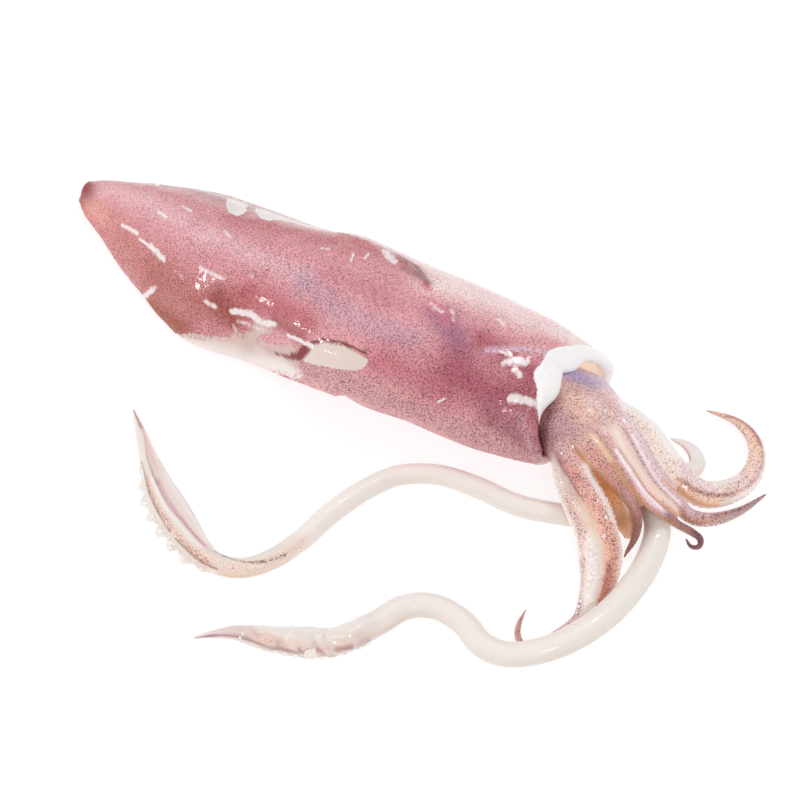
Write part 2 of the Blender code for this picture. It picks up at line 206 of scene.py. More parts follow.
def half_slices(x, curl):
    """Points (sideways, up) of one half of each slice at x, from the top round the fin to the belly."""
    half, height, _ = table_at(MANTLE_STATIONS, x / MANTLE_LENGTH)
    half, height = half * MANTLE_WIDTH / 2, height * MANTLE_HEIGHT
    upright = (1 + BELLY_SUNK) * height / 2

    def sleeve(degrees):
        a = math.radians(degrees)
        return np.stack([half * math.cos(a), np.maximum(height - upright + upright * math.sin(a), 0)], -1)

    along = np.minimum(x / FIN_LENGTH, 1)
    span, lift = table_at(FIN_STATIONS, along)
    edge = np.stack([span * FIN_SPAN / 2, lift * MANTLE_HEIGHT + curl * np.sin(math.pi * along)], -1)
    out = np.clip((1 - x / FIN_LENGTH) / FIN_FADE, 0, 1)[:, None]
    root = (sleeve(FIN_ROOT[0]) + sleeve(FIN_ROOT[1])) / 2
    reach = edge - root
    wide = np.linalg.norm(reach, axis=1)[:, None]
    rise = np.stack([-reach[:, 1], reach[:, 0]], -1) / wide * FIN_THICKNESS / 2
    bulge = np.concatenate([np.zeros_like(wide), FIN_BULGE * wide], 1)
    flap = (
        root + 0.5 * reach + rise + bulge, root + 0.93 * reach + 0.7 * rise, edge,
        root + 0.93 * reach - 0.5 * rise, root + 0.5 * reach - rise + 0.5 * bulge,
    )
    knots = [sleeve(degrees) for degrees in OVER_FIN]
    knots += [sleeve(degrees) * (1 - out) + point * out for degrees, point in zip(BESIDE_FIN, flap)]
    knots += [sleeve(degrees) for degrees in UNDER_FIN]
    knots.append(np.zeros_like(edge))
    arch = np.clip((ARCH_ENDS[1] - x) / (ARCH_ENDS[1] - ARCH_ENDS[0]), 0, 1)[:, None]
    for k, share in enumerate(ARCH_SHARES):
        up = edge[:, 1] + (height - edge[:, 1]) * (1 - share**ARCH_POWER)
        knots[k] = knots[k] * (1 - arch) + np.stack([edge[:, 0] * share, up], -1) * arch
    knots = np.array(knots)
    knots[..., 1] = np.maximum(knots[..., 1], 0)
    at = np.concatenate([k + np.arange(n) / n for k, n in enumerate(HALF_STEPS)] + [[len(HALF_STEPS)]])
    return smooth(np.arange(len(knots)), knots, at)


def slices(x, inset=0.0):
    """Whole slices of the mantle at x, drawn in by inset: an array of slice, point and axis."""
    x = np.atleast_1d(x)
    inset = np.broadcast_to(inset, x.shape)[:, None]
    bend = table_at(MANTLE_STATIONS, x / MANTLE_LENGTH)[2] * MANTLE_WIDTH
    right, left = (half_slices(x, curl).transpose(1, 0, 2) for curl in (0, LEFT_FIN_CURL))
    middle = right[..., 1].max(1, keepdims=True) / 2
    y = np.concatenate([-right[..., 0], left[:, -2:0:-1, 0]], 1)
    z = np.concatenate([right[..., 1], left[:, -2:0:-1, 1]], 1)
    shrink = 1 - inset / np.hypot(y, z - middle)
    y, z = y * shrink, middle + (z - middle) * shrink
    upper = np.maximum((z - middle) / middle, 0)
    near_rim = np.maximum((x / MANTLE_LENGTH - RIM_FROM) / (1 - RIM_FROM), 0)[:, None] ** 2
    ahead = (RIM_SLANT * y - DORSAL_DIP * upper) * near_rim
    return np.stack([x[:, None] + ahead, y + bend[:, None], np.maximum(z, 0)], -1)


def mantle_rings():
    """All rings from the tail to the rim, round the lip and down the mouth, and how far along the skin
    each one is."""
    first = slices(0.0)[0]
    middle = first.mean(0)
    turns = np.radians(TAIL_TURNS)
    tail_rings = [
        middle + (first - middle) * math.sin(a) - (TAIL_ROUNDING * math.cos(a), 0, 0) for a in turns
    ]
    tail_along = -TAIL_ROUNDING * np.cos(turns)
    x = MANTLE_LENGTH * (np.arange(SLICES + 1) / SLICES) ** TAIL_CROWDING
    turns = np.radians(np.linspace(0, 180, LIP_RINGS + 1)[1:])
    lip = slices(np.full(len(turns), MANTLE_LENGTH), WALL / 2 * (1 - np.cos(turns)))
    lip[..., 0] += WALL / 2 * np.sin(turns)[:, None]
    share = np.linspace(0, 1, WALL_RINGS + 1)[1:]
    inside = slices(MANTLE_LENGTH - share * MOUTH_DEPTH, np.interp(share, *MOUTH_WALL) * WALL)
    along = np.concatenate([
        tail_along, x, MANTLE_LENGTH + WALL / 2 * turns,
        MANTLE_LENGTH + WALL / 2 * math.pi + share * MOUTH_DEPTH,
    ])
    return np.concatenate([np.array(tail_rings), slices(x), lip, inside]), along


def ring_mesh(name, rings):
    """A closed mesh through rings of equal length, whose ends close on a point in their middle."""
    count, sides = rings.shape[:2]
    points = np.concatenate([rings.reshape(-1, 3), rings[:1].mean(1), rings[-1:].mean(1)])
    here = np.arange(count * sides).reshape(count, sides)
    ahead = np.roll(here, -1, 1)
    quads = np.stack([here[:-1], ahead[:-1], ahead[1:], here[1:]], -1).reshape(-1, 4)
    start, end = count * sides, count * sides + 1
    caps = [(start, b, a) for a, b in zip(here[0], ahead[0])]
    caps += [(end, a, b) for a, b in zip(here[-1], ahead[-1])]
    data = bpy.data.meshes.new(name)
    data.from_pydata(points.tolist(), [], quads.tolist() + caps)
    data.shade_smooth()
    return placed(name, data)


def attribute(piece, name, values):
    """Gives each vertex a number or a colour under this name."""
    values = np.asarray(values, np.float32)
    if values.ndim == 1:
        piece.data.attributes.new(name, "FLOAT", "POINT").data.foreach_set("value", values)
    else:
        values = np.concatenate([values, np.ones((len(values), 1), np.float32)], 1)
        piece.data.attributes.new(name, "FLOAT_COLOR", "POINT").data.foreach_set("color", values.ravel())


rings, along = mantle_rings()
rings += np.array(tail)
sides = rings.shape[1]
half_way = sum(HALF_STEPS)
girth = np.cumsum(np.linalg.norm(np.diff(rings, axis=1, append=rings[:, :1]), axis=2), 1)
girth = np.concatenate([np.zeros((len(rings), 1)), girth[:, :-1]], 1)
whole = girth[:, -1:] + np.linalg.norm(rings[:, -1] - rings[:, 0], axis=1)[:, None]
left_side = np.arange(sides) > half_way
girth = np.where(left_side, girth - whole, girth)  # on the skin, from the top line: right is positive
mantle = ring_mesh("mantle_flesh", rings)
attribute(mantle, "along", np.append(np.repeat(along, sides), [along[0], along[-1]]) * 1000)
attribute(mantle, "girth", np.append(girth.ravel(), [0, 0]) * 1000)

# On the mantle's skin a place is (along, girth): millimetres from the tail, and round from the line
# along the back, to the squid's right where positive.
NEAR_TEAR = (
    (64, 41), (70, 38.4), (78, 38), (83.3, 36.5), (85, 34.6), (83.5, 31.8), (82, 31), (84.5, 31.4),
    (87.5, 34), (91.5, 31), (91.5, 28.5), (94, 26), (98, 26.5), (100.3, 29), (99, 32), (95.2, 34.1),
    (98, 34.8), (101.2, 34.3), (105.4, 32.6), (108.2, 31.9), (111.5, 33.2), (113, 37), (117, 41),
    (112, 46), (100, 47), (88, 48), (76, 48), (66, 45),
)
FAR_TEAR = (
    (48, -26), (52, -19.5), (56, -14), (60.5, -9.7), (64.6, -9.5), (65.5, -13.5), (62, -20), (60.1, -25),
    (63, -25), (66, -19), (71.9, -13.7), (76, -12.4), (78, -17), (81.4, -17.7), (86.9, -18.4),
    (92.4, -17.3), (100, -20), (106, -25), (99, -28), (91, -27), (84, -31), (75, -29.5), (67, -32),
    (58, -29), (51, -30),
)
# The loose lobes of flesh in front of the two tears.
CREAM_LOBE = (
    (114.6, 35), (116.5, 28.8), (121.6, 24.9), (128.6, 22.8), (135.7, 23), (138.8, 23.3), (138.5, 25.8),
    (136.1, 28.1), (129.6, 30.5), (120.2, 33.6),
)
FAR_LOBE = (
    (100, -17), (112, -19.5), (124, -19.5), (132, -17.5), (139, -13.5), (141.5, -10.5), (136, -8), (124, -7),
    (108, -8),
)
# The raw red edge of the skin round the near lobe: a line, and a patch where it widens.
TORN_LINE = ((103, 38), (109, 37), (112.5, 34), (114, 30), (117, 27), (121, 24), (128, 21.8), (137, 21.5))
TORN_RED = ((109, 37.5), (114.2, 36), (117.4, 30.5), (118, 28.5), (114.5, 29.6), (111.9, 33.2), (109.5, 35))
# Where the bare white of the lip begins, round the mouth: (girth, along).
LIP_EDGE = (
    (-60, 203), (-36, 201), (-19, 199.2), (-12.7, 198.6), (-7.7, 196.2), (-4.7, 195.2), (0, 196.8),
    (5.3, 196.7), (8.6, 200.2), (12.3, 201.6), (15.6, 203.4), (19, 206.6), (23, 209), (60, 209),
)
# Soft fields of colour in the skin: the line they follow, how far they reach, how strong they are and
# their colour.
SKIN_FIELDS = (
    # Pale along the far edge: partly the skin's own paler colour, partly a painted reflection of the bright
    # room where the skin turns away.
    (((84, -26), (120, -24), (200, -24)), 9, 0.8, (244, 222, 220)),
    (((0, -20), (58, -22)), 9, 0.85, (158, 92, 96)),
    (((0, 8), (25, 17), (45, 24)), 8, 0.85, (198, 128, 122)),
    (((2, 8), (14, 12)), 4, 0.85, (220, 158, 146)),
    (((48, 24), (66, 26), (84, 26)), 9, 0.9, (180, 108, 102)),
    (((48, 36), (66, 38)), 5, 0.9, (158, 85, 62)),
    (((76, 24), (84, 30)), 4, 0.8, (158, 80, 74)),
    (((86, 20), (112, 22)), 5, 0.85, (184, 100, 106)),
    (((100, 26), (112, 27)), 2.5, 0.8, (160, 84, 82)),
    (((66, -9), (112, -13)), 6, 0.8, (192, 116, 120)),
    (((112, -14), (128, -16)), 5, 0.8, (196, 120, 124)),
    # Lilac along the back: partly the skin's colour, partly a painted sheen where its low ridge catches the
    # light.
    (((6, 1), (42, 2.8), (62, 4)), 4.5, 0.8, (222, 178, 184)),
    (((62, 4), (84, 6.5), (104, 9)), 3.5, 0.8, (222, 182, 190)),
    (((104, 10), (124, 13), (148, 12)), 4.5, 0.75, (194, 156, 172)),
    (((110, 2), (140, 2)), 4, 0.6, (196, 132, 142)),
    (((152, 0), (160, 5), (166, 9)), 5, 0.9, (158, 108, 134)),
    (((147, -3), (155, 0)), 3, 0.8, (204, 124, 140)),
    (((142, 22), (165, 24)), 6, 0.8, (192, 116, 126)),
    (((166, 16), (184, 18), (200, 14)), 8, 0.95, (168, 90, 106)),
    (((170, 2), (197, 6)), 4.5, 0.9, (172, 90, 106)),
    (((118, 38), (134, 34), (150, 33), (175, 34), (200, 32)), 5.5, 0.9, (202, 156, 156)),
    (((144, -14), (165, -15), (198, -15)), 7, 0.9, (238, 210, 210)),
    (((190, -8), (199, -8)), 4, 0.7, (214, 150, 158)),
    (((174, 5), (182, 1), (188, -2), (195, -4)), 1.3, 0.8, (212, 182, 200)),
    # A dark edge of the far lobe, with painted shadow under it.
    (((116, -20.5), (126, -20.5), (134, -19)), 0.9, 0.8, (160, 90, 92)),
    (((127, -18.6), (134, -17), (141, -11.5)), 1.7, 0.95, (116, 60, 68)),
    (((131, -14), (137, -12.5)), 1.8, 0.7, (146, 90, 92)),
    (((141, -11), (143, -9)), 1.2, 0.8, (196, 100, 104)),
    (((186, 24), (200, 26)), 5, 0.7, (158, 102, 112)),
    (((198, 20), (203, 32)), 2.0, 0.7, (196, 156, 166)),
    (((-2, -4), (2, 4)), 4.5, 0.95, (146, 62, 64)),
)
# Low folds in the wet skin, each with a painted highlight, a white streak for the shine of a lamp on it: the
# line that each follows, its half width and how whole it is: under 1 it breaks up.
FOLDS = (
    (((25, 12.6), (29, 12.9), (33, 13.4)), 0.8, 0.90), (((35, 15), (44, 16.8)), 0.6, 0.95),
    (((41, 16), (49, 18)), 1.2, 0.9), (((65, 15.3), (70, 16), (76, 17)), 0.8, 0.80),
    (((72, 26), (77, 27.5)), 1.0, 0.75), (((83, 27), (90, 26.3), (93, 27.6)), 1.3, 1.0),
    (((95, 28.4), (100, 27.2)), 1.3, 0.90), (((107, 29), (112, 28.4), (118, 27.8)), 0.8, 1.0),
    (((86, 30), (97, 31)), 1.2, 0.62), (((37, 3.5), (41, 4.3)), 0.9, 0.80),
    (((44, -2.5), (48, -2.3)), 0.9, 0.75), (((20, -18), (26, -10)), 1.2, 0.85),
    (((66, 0), (70, 1.6)), 0.8, 0.72), (((192, 16), (201, 13.6)), 1.5, 0.95),
    (((183, 6), (187, 4), (191, 3.0)), 1.8, 0.85), (((188, 7), (192, 8)), 1.4, 0.80),
    (((176, 4.4), (183, 2.6)), 0.6, 0.80), (((166, 27), (168, 25)), 0.5, 0.90),
    (((45, 34), (49, 29)), 1.4, 0.80), (((121, -17), (126, -14.5)), 1.8, 0.90),
    (((113, -8), (114, -5)), 0.6, 0.85), (((117, -12), (118, -8)), 0.6, 0.85),
    (((102, -5), (104, -5.5)), 0.9, 0.75), (((147, -3), (152, -1)), 1.6, 0.66),
    (((154, -4), (157, 0)), 1.2, 0.60), (((170, -8), (174, -6)), 0.9, 0.70),
    (((188, -22), (192, -14)), 1.0, 0.5), (((56, 20), (60, 21)), 1.1, 0.6), (((84, 13), (86, 14)), 1.0, 0.6),
)
FOLD_SOFTNESS = 1.35  # the reach of the painted highlight per half width of its fold
# Where the dark spots are larger, over 1, or smaller: the line, how far it reaches and how much.
SPOT_FIELDS = (
    (((120, 36), (150, 34), (200, 34)), 9, 1.18), (((150, 14), (200, 12)), 9, 1.15),
    (((150, -16), (200, -18)), 8, 0.80), (((4, 0), (40, 4)), 9, 0.85), (((140, 4), (160, 6)), 5, 0.85),
    (((40, -12), (110, -14)), 8, 1.1), (((90, 10), (120, 12)), 6, 1.1), (((30, 20), (80, 26)), 9, 1.15),
)
SKIN_COLOUR = (212, 154, 160)
FLESH_COLOUR = (213, 187, 178)
FIN_EDGE_COLOUR = (240, 230, 226)
LOBE_COLOUR = (229, 212, 202)
# The white of the painted highlight along the folds.
HIGHLIGHT_COLOUR = (246, 236, 236)
LIP_COLOUR = (250, 246, 245)
MOUTH_COLOUR = (240, 231, 214)  # of the wall inside the lip, and of the painted glow on it
MOUTH_GLOW = 0.40  # the strength of a painted glow, emission that stands in for light coming through that thin wall
LIP_GLOW = 0.11  # the share of that painted glow on the thick lip
# Painted shade: a dark colour on the near side of the wall inside the mouth, where the mantle's edge meets
# the head.
NEAR_MOUTH_SHADE = (128, 80, 88)
TORN_COLOUR = (136, 48, 42)
MOTTLE = (0.05, 0.11, 0.09)  # how much broad soft patches change the skin's red, green and blue
NEAR_BARE, NEAR_BARE_DEEP, FAR_BARE = 0.56, 0.2, 0.8  # how bare a tear is: below 1 some skin is left
FIN_EDGE, FAR_SIDE = (37, 44), (-9, -4)  # the girth over which torn flesh turns to the fin's pale colour
MOUTH_INSIDE, NEAR_SIDE = (205.5, 209), (13, 17)  # spans along and of girth
# How high each form stands from the skin, in millimetres.
LOBE_RISE, FAR_LOBE_RISE, TORN_DEPTH, FOLD_RISE = 0.9, 0.9, 0.35, 0.20
LIP_ROLL, NEAR_LIP_ROLL, NOTCH_DEPTH = 0.5, 0.7, 0.8
MUSCLE_LUMPS, SKIN_LUMPS = 0.18, 0.08
# How far the lip leans out on each side of the notch in it: forwards, to the left and up.
NEAR_LIP_LEAN, FAR_LIP_LEAN = (2.4, -0.5, -0.9), (1.0, -0.6, -1.5)


def tone(red, green, blue):
    """A colour's light from its 0 to 255 values as they show on a screen."""
    return np.array([((c / 255 + 0.055) / 1.055) ** 2.4 for c in (red, green, blue)])


def to_line(places, line):
    """How far each place is from the nearest point of the line."""
    line = np.array(line, float)
    nearest = np.full(len(places), np.inf)
    for start, end in zip(line, line[1:]):
        way = end - start
        share = np.clip((places - start) @ way / (way @ way), 0, 1)
        nearest = np.minimum(nearest, np.linalg.norm(places - start - share[:, None] * way, axis=1))
    return nearest


def into(places, outline):
    """How far each place is inside the closed outline: negative outside it."""
    outline = np.array(outline + outline[:1], float)
    crossings = np.zeros(len(places), int)
    for (ax, ay), (bx, by) in zip(outline, outline[1:]):
        spans = (ay > places[:, 1]) != (by > places[:, 1])
        crossings += spans & (places[:, 0] < ax + (bx - ax) * (places[:, 1] - ay) / (by - ay + 1e-9))
    return np.where(crossings % 2 == 1, 1, -1) * to_line(places, outline)


def step(values, start, end):
    """0 below start, 1 above end, and smooth between them."""
    share = np.clip((values - start) / (end - start), 0, 1)
    return share * share * (3 - 2 * share)


def fade(values, start, end):
    """1 below start, 0 above end, and smooth between them."""
    return step(-values, -end, -start)


def hump(values, middle, reach, power=2):
    """1 at the middle, and falling softly to 0 past its reach on both sides."""
    return np.exp(-(((values - middle) / reach) ** power))


def blend(under, over, share):
    """The values under, drawn towards those over them by this share."""
    return under * (1 - share) + over * share


RANDOM = np.random.default_rng(7).random(8192)


def lumps(places, size, seed=0):
    """Soft random values from -1 to 1 at the places, in lumps of this size."""
    grid = places / size + 31.7 * seed
    cell = np.floor(grid).astype(np.int64)
    part = grid - cell
    part = part * part * (3 - 2 * part)
    total = np.zeros(len(places))
    for corner in itertools.product((0, 1), repeat=places.shape[1]):
        key = (cell + corner) @ np.array((7919, 104729, 1299709)[: places.shape[1]])
        weight = np.prod(np.where(corner, part, 1 - part), axis=1)
        total += weight * RANDOM[key % len(RANDOM)]
    return 2 * total - 1


def read(piece, source, name, width):
    """A number or vector of every vertex, as an array."""
    values = np.empty(len(piece.data.vertices) * width, np.float32)
    source.foreach_get(name, values)
    return values.reshape(-1, width).astype(float) if width > 1 else values.astype(float)


def move(piece, offset):
    """Moves every vertex by its own offset."""
    places = read(piece, piece.data.vertices, "co", 3) + offset
    piece.data.vertices.foreach_set("co", places.ravel().astype(np.float32))
    piece.data.update()


def swell(piece, height):
    """Moves every vertex out along its normal by its own height."""
    move(piece, read(piece, piece.data.vertex_normals, "vector", 3) * height[:, None])


columns = [read(mantle, mantle.data.attributes[name].data, "value", 1) for name in ("along", "girth")]
skin = np.stack(columns, 1)
far_on, to_right = columns
body = read(mantle, mantle.data.vertices, "co", 3) * 1000
ragged = 0.5 * lumps(skin, 1.6, 1) + 0.3 * lumps(skin, 0.7, 2)
near_tear, far_tear = into(skin, NEAR_TEAR) + ragged, into(skin, FAR_TEAR) + ragged
lobe = into(skin, CREAM_LOBE)
lip = far_on - smooth(*np.array(LIP_EDGE).T, to_right)
bare = NEAR_BARE * step(near_tear, -0.2, 0.25) + NEAR_BARE_DEEP * step(near_tear, 1.5, 4)
bare = np.maximum(bare, FAR_BARE * step(far_tear, -0.2, 0.25))
bare = np.maximum(np.maximum(bare, step(lobe, -0.3, 0.2)), step(lip, -0.25, 0.25))
red = step(into(skin, TORN_RED) + 0.6 * ragged, -0.4, 0.4)
lobe_line = fade(to_line(skin, TORN_LINE) + 0.5 * ragged, 0.2, 1.0) * fade(lobe, -0.3, 0.2)
red = np.maximum(red, lobe_line)

colour = np.tile(tone(*SKIN_COLOUR), (len(skin), 1))
for line, reach, strength, shade in SKIN_FIELDS:
    colour = blend(colour, tone(*shade), strength * hump(to_line(skin, line), 0, reach)[:, None])
colour *= 1 + (0.6 * lumps(skin, 9, 3) + 0.4 * lumps(skin, 4, 4))[:, None] * MOTTLE

flesh = tone(*FLESH_COLOUR) * (1 + 0.10 * lumps(skin, 3, 9) + 0.06 * lumps(skin, 1.2, 10))[:, None]
at_edge = step(np.abs(to_right + 1.5 * lumps(skin, 5, 11)), *FIN_EDGE)
on_far_side = (0.80 - 0.30 * lumps(skin, 4, 13)) * fade(to_right, *FAR_SIDE)
for share in (at_edge, on_far_side):
    flesh = blend(flesh, tone(*FIN_EDGE_COLOUR), share[:, None])
white = step(lip, -0.3, 0.3)[:, None]
inside = step(far_on, *MOUTH_INSIDE)[:, None]
near_side = step(to_right, *NEAR_SIDE)[:, None]
bare_colour = np.where(lobe[:, None] > -0.5, tone(*LOBE_COLOUR), flesh)
bare_colour = blend(bare_colour, tone(*LIP_COLOUR), white)
# Inside the mouth the wall's colour, and on its near side painted shade.
bare_colour = blend(bare_colour, blend(tone(*MOUTH_COLOUR), tone(*NEAR_MOUTH_SHADE), near_side), inside)
bare_colour = blend(bare_colour, tone(*TORN_COLOUR), red[:, None])
# A painted glow: emission for light that would come through the thin wall inside the mouth, and a little
# through the lip.
light = tone(*MOUTH_COLOUR) * inside * (1 - near_side) + LIP_GLOW * white * (1 - inside)

spotted, folds_and_highlights = np.ones(len(skin)), np.zeros(len(skin))
# The folds, and the painted highlight along them.
for line, reach, whole_share in FOLDS:
    folds_and_highlights = np.maximum(folds_and_highlights, whole_share * hump(to_line(skin, line), 0, FOLD_SOFTNESS * reach))
for line, reach, wide in SPOT_FIELDS:
    spotted += (wide - 1) * hump(to_line(skin, line), 0, reach)
attribute(mantle, "spotted", spotted)
attribute(mantle, "folds_and_highlights", folds_and_highlights)
attribute(mantle, "skin colour", colour)
attribute(mantle, "painted glow", light)
attribute(mantle, "bare colour", bare_colour)
attribute(mantle, "bare", np.maximum(bare, red))

far_lobe = into(skin, FAR_LOBE)
far_lobe = step(far_lobe, -0.2, 0.8) * hump(far_lobe, 0, 4)
torn = step(np.maximum(near_tear, far_tear), 0, 0.6)
near_lobe = hump(to_right, 5.5, 6.0)
rolled = np.clip(1 - ((far_on - 201.5) / 5.5) ** 2, 0, 1) ** 0.5 * step(lip, -0.2, 0.6)
notch = hump(to_right, -2.6, 1.1) * step(far_on, 197, 202)
swell(mantle, (
    LOBE_RISE * step(lobe, -0.2, 2.5) - TORN_DEPTH * torn
    + rolled * (LIP_ROLL + NEAR_LIP_ROLL * near_lobe) - NOTCH_DEPTH * notch
    + FOLD_RISE * folds_and_highlights + FAR_LOBE_RISE * far_lobe
    + MUSCLE_LUMPS * lumps(body, 7, 5) + SKIN_LUMPS * lumps(body, 2.6, 6) * fade(far_on, 200, 206)
) / 1000)
near_lean = step(far_on, 198, 204) * near_lobe * fade(far_on, 206, 212)
move(mantle, near_lean[:, None] * np.array(NEAR_LIP_LEAN) / 1000)
far_lean = hump(to_right, -8, 3.6) * step(far_on, 199, 204) * fade(far_on, 207, 213)
move(mantle, far_lean[:, None] * np.array(FAR_LIP_LEAN) / 1000)


def node(tree, kind, inputs, out=0, **settings):
    """Adds a node with these inputs and settings to a tree and returns one of its outputs."""
    new = tree.nodes.new(kind)
    for name, value in settings.items():
        setattr(new, name, value)
    for name, value in inputs.items():
        if isinstance(value, bpy.types.NodeSocket):
            tree.links.new(value, new.inputs[name])
        else:
            new.inputs[name].default_value = value
    return new.outputs[out]


def add(made, kind, inputs, out=0, **settings):
    """Adds a shader node to a material, and returns one of its outputs."""
    return node(made.node_tree, "ShaderNode" + kind, inputs, out, **settings)


def painted(made, name, out="Color"):
    """The colour painted on the piece under this name or, where out is Fac, the number."""
    return add(made, "Attribute", {}, out, attribute_name=name)


def worked_out(made, operation, *values, **settings):
    """The outcome of an operation on these numbers, some of which are sockets."""
    return add(made, "Math", dict(enumerate(values)), operation=operation, **settings)


def mixed(made, share, under, over):
    """The colour under, drawn towards the one over it by this share."""
    return add(made, "MixRGB", {"Fac": share, "Color1": under, "Color2": over})


def shaded(made, colour, shade, share=1.0):
    """The colour times the shade's red, green and blue, or drawn towards that by a share."""
    inputs = {"Fac": share, "Color1": colour, "Color2": (*shade, 1)}
    return add(made, "MixRGB", inputs, blend_type="MULTIPLY")


def noise(made, place, size, spread):
    """Fine random values round 0, with this spread, in grains of this size."""
    rough = add(made, "TexNoise", {"Vector": place, "Scale": 1 / size, "Detail": 3.0}, "Fac")
    return worked_out(made, "MULTIPLY_ADD", rough, spread, -spread / 2)


def spots(made, place, cell, radius, soft, spread, wide=1.0):
    """Round spots in the skin, one to a cell of this size, each of its own width and depth: up to 1
    inside them. Where wide is over 1 they are larger."""
    even = {"Vector": place, "Scale": 1 / cell, "Randomness": SPOT_SCATTER}
    cells = add(made, "TexVoronoi", even, "Distance")
    own = add(made, "TexVoronoi", even, "Color")
    size = add(made, "SeparateColor", {"Color": own}, "Red")
    depth = add(made, "SeparateColor", {"Color": own}, "Green")
    edge = worked_out(made, "MULTIPLY_ADD", size, spread, radius - spread / 2)
    edge = worked_out(made, "MULTIPLY", edge, wide)
    gap = worked_out(made, "SUBTRACT", edge, cells)
    inside = add(made, "MapRange", {"Value": gap, "From Min": -soft, "From Max": soft},
                 interpolation_type="SMOOTHSTEP")
    depth = worked_out(made, "MULTIPLY_ADD", depth, *SPOT_DEPTH)
    return worked_out(made, "MULTIPLY", inside, depth, use_clamp=True)


def dotted_skin(made, place, dots, amount):
    """The painted skin colour with fine freckles and, over them, large dark dots, as far as the amount
    lets them show."""
    colour, wide = painted(made, "skin colour"), painted(made, "spotted", "Fac")
    large = worked_out(made, "MULTIPLY", spots(made, place, *dots["large"], wide), amount)
    fine = worked_out(made, "MULTIPLY", spots(made, place, *dots["fine"]), amount)
    between = shaded(made, colour, dots["between"], amount)
    freckled = mixed(made, fine, between, shaded(made, colour, dots["freckle"]))
    return mixed(made, large, freckled, shaded(made, colour, dots["dark"]))


def wet_flesh(name, finish):
    """A glossy, slightly translucent material with a finish of its own: returns it, its shader and the
    place on the piece."""
    made = bpy.data.materials.new(name)
    made.use_nodes = True
    shader = made.node_tree.nodes["Principled BSDF"]
    for socket, value in {**WET_FINISH, **finish}.items():
        shader.inputs[socket].default_value = value
    return made, shader, add(made, "TexCoord", {}, "Object")


def feed(made, shader, socket, value):
    """Joins a value to one of the shader's inputs."""
    made.node_tree.links.new(value, shader.inputs[socket])


def bumpy(made, shader, place, socket, layers):
    """Feeds a bump of noise layers, each (size, height), into one of the shader's normals."""
    normal = None
    for size, height in layers:
        rough = add(made, "TexNoise", {"Vector": place, "Scale": 1 / size, "Detail": 2.0}, "Fac")
        inputs = {"Height": rough, "Distance": height, "Strength": 1.0}
        if normal:
            inputs["Normal"] = normal
        normal = add(made, "Bump", inputs)
    feed(made, shader, socket, normal)


SPOT_SCATTER = 0.85  # how unevenly the spots stand: 0 is a grid
SPOT_DEPTH = (0.55, 0.50)  # how much their depth varies, and its least value
WET_FINISH = {
    "Subsurface Weight": 0.35, "Subsurface Radius": (1.0, 0.45, 0.35), "Subsurface Scale": 0.0011,
    "Specular IOR Level": 0.2, "Coat Weight": 0.7, "Coat Roughness": 0.07, "Coat IOR": 1.36,
}
# The mantle's dots: the size of their cells in metres, then radius, softness and spread as shares of
# a cell. The other rows are shades of the skin: between the dots, in a freckle and in a dark dot.
MANTLE_DOTS = {
    "large": (0.00047, 0.35, 0.10, 0.24), "fine": (0.00040, 0.40, 0.14, 0.24),
    "between": (1.30, 1.30, 1.29), "freckle": (0.90, 0.80, 0.80), "dark": (0.29, 0.11, 0.14),
}
FRAY, HIGHLIGHT_FRAY = (0.0011, 0.7), (0.0016, 0.9)  # the grain of a ragged edge and of the painted highlight on a fold, and its spread
# Bumps of the skin and of the wet film over it: each is (size, height) in metres.
MANTLE_GRAIN, MANTLE_FILM = ((0.0011, 0.00012),), ((0.006, 0.0006), (0.0012, 0.00006))

mantle_skin, shader, place = wet_flesh("mantle skin", {"Emission Strength": MOUTH_GLOW, "Roughness": 0.42})
surface = dotted_skin(mantle_skin, place, MANTLE_DOTS, 1.0)
bare_here = painted(mantle_skin, "bare", "Fac")
bare_here = worked_out(mantle_skin, "ADD", bare_here, noise(mantle_skin, place, *FRAY))
bare_here = add(mantle_skin, "MapRange", {"Value": bare_here, "From Min": 0.4, "From Max": 0.6})
surface = mixed(mantle_skin, bare_here, surface, painted(mantle_skin, "bare colour"))
# A painted highlight: white streaks along the wet folds, with ragged edges.
highlight_here = painted(mantle_skin, "folds_and_highlights", "Fac")
highlight_here = worked_out(mantle_skin, "ADD", highlight_here, noise(mantle_skin, place, *HIGHLIGHT_FRAY))
highlight_here = add(mantle_skin, "MapRange", {"Value": highlight_here, "From Min": 0.40, "From Max": 0.85,
                                            "To Max": 0.92}, interpolation_type="SMOOTHSTEP")
surface = mixed(mantle_skin, highlight_here, surface, (*tone(*HIGHLIGHT_COLOUR), 1))
feed(mantle_skin, shader, "Base Color", surface)
# The painted glow, as emission.
feed(mantle_skin, shader, "Emission Color", painted(mantle_skin, "painted glow"))
bumpy(mantle_skin, shader, place, "Normal", MANTLE_GRAIN)
bumpy(mantle_skin, shader, place, "Coat Normal", MANTLE_FILM)
mantle.data.materials.append(mantle_skin)
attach(mantle, "root")
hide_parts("mantle")

# The head and arms. The head is a firm egg in the mantle's mouth, and eight tapering arms grow from its
# front in one crown. Each arm has spotted skin on its back, a pale inner side and two rows of suckers.
HEAD_WIDTH, HEAD_HEIGHT = 34.0, 27.0
HEAD_SLICES, HEAD_SIDES, ARM_SIDES, WEB_SIDES = 60, 48, 28, 16
ARM_SPACING = 0.0006  # between the rings of an arm
VOXEL = 0.00044  # the fineness of the one skin over the head, the arms and the webs
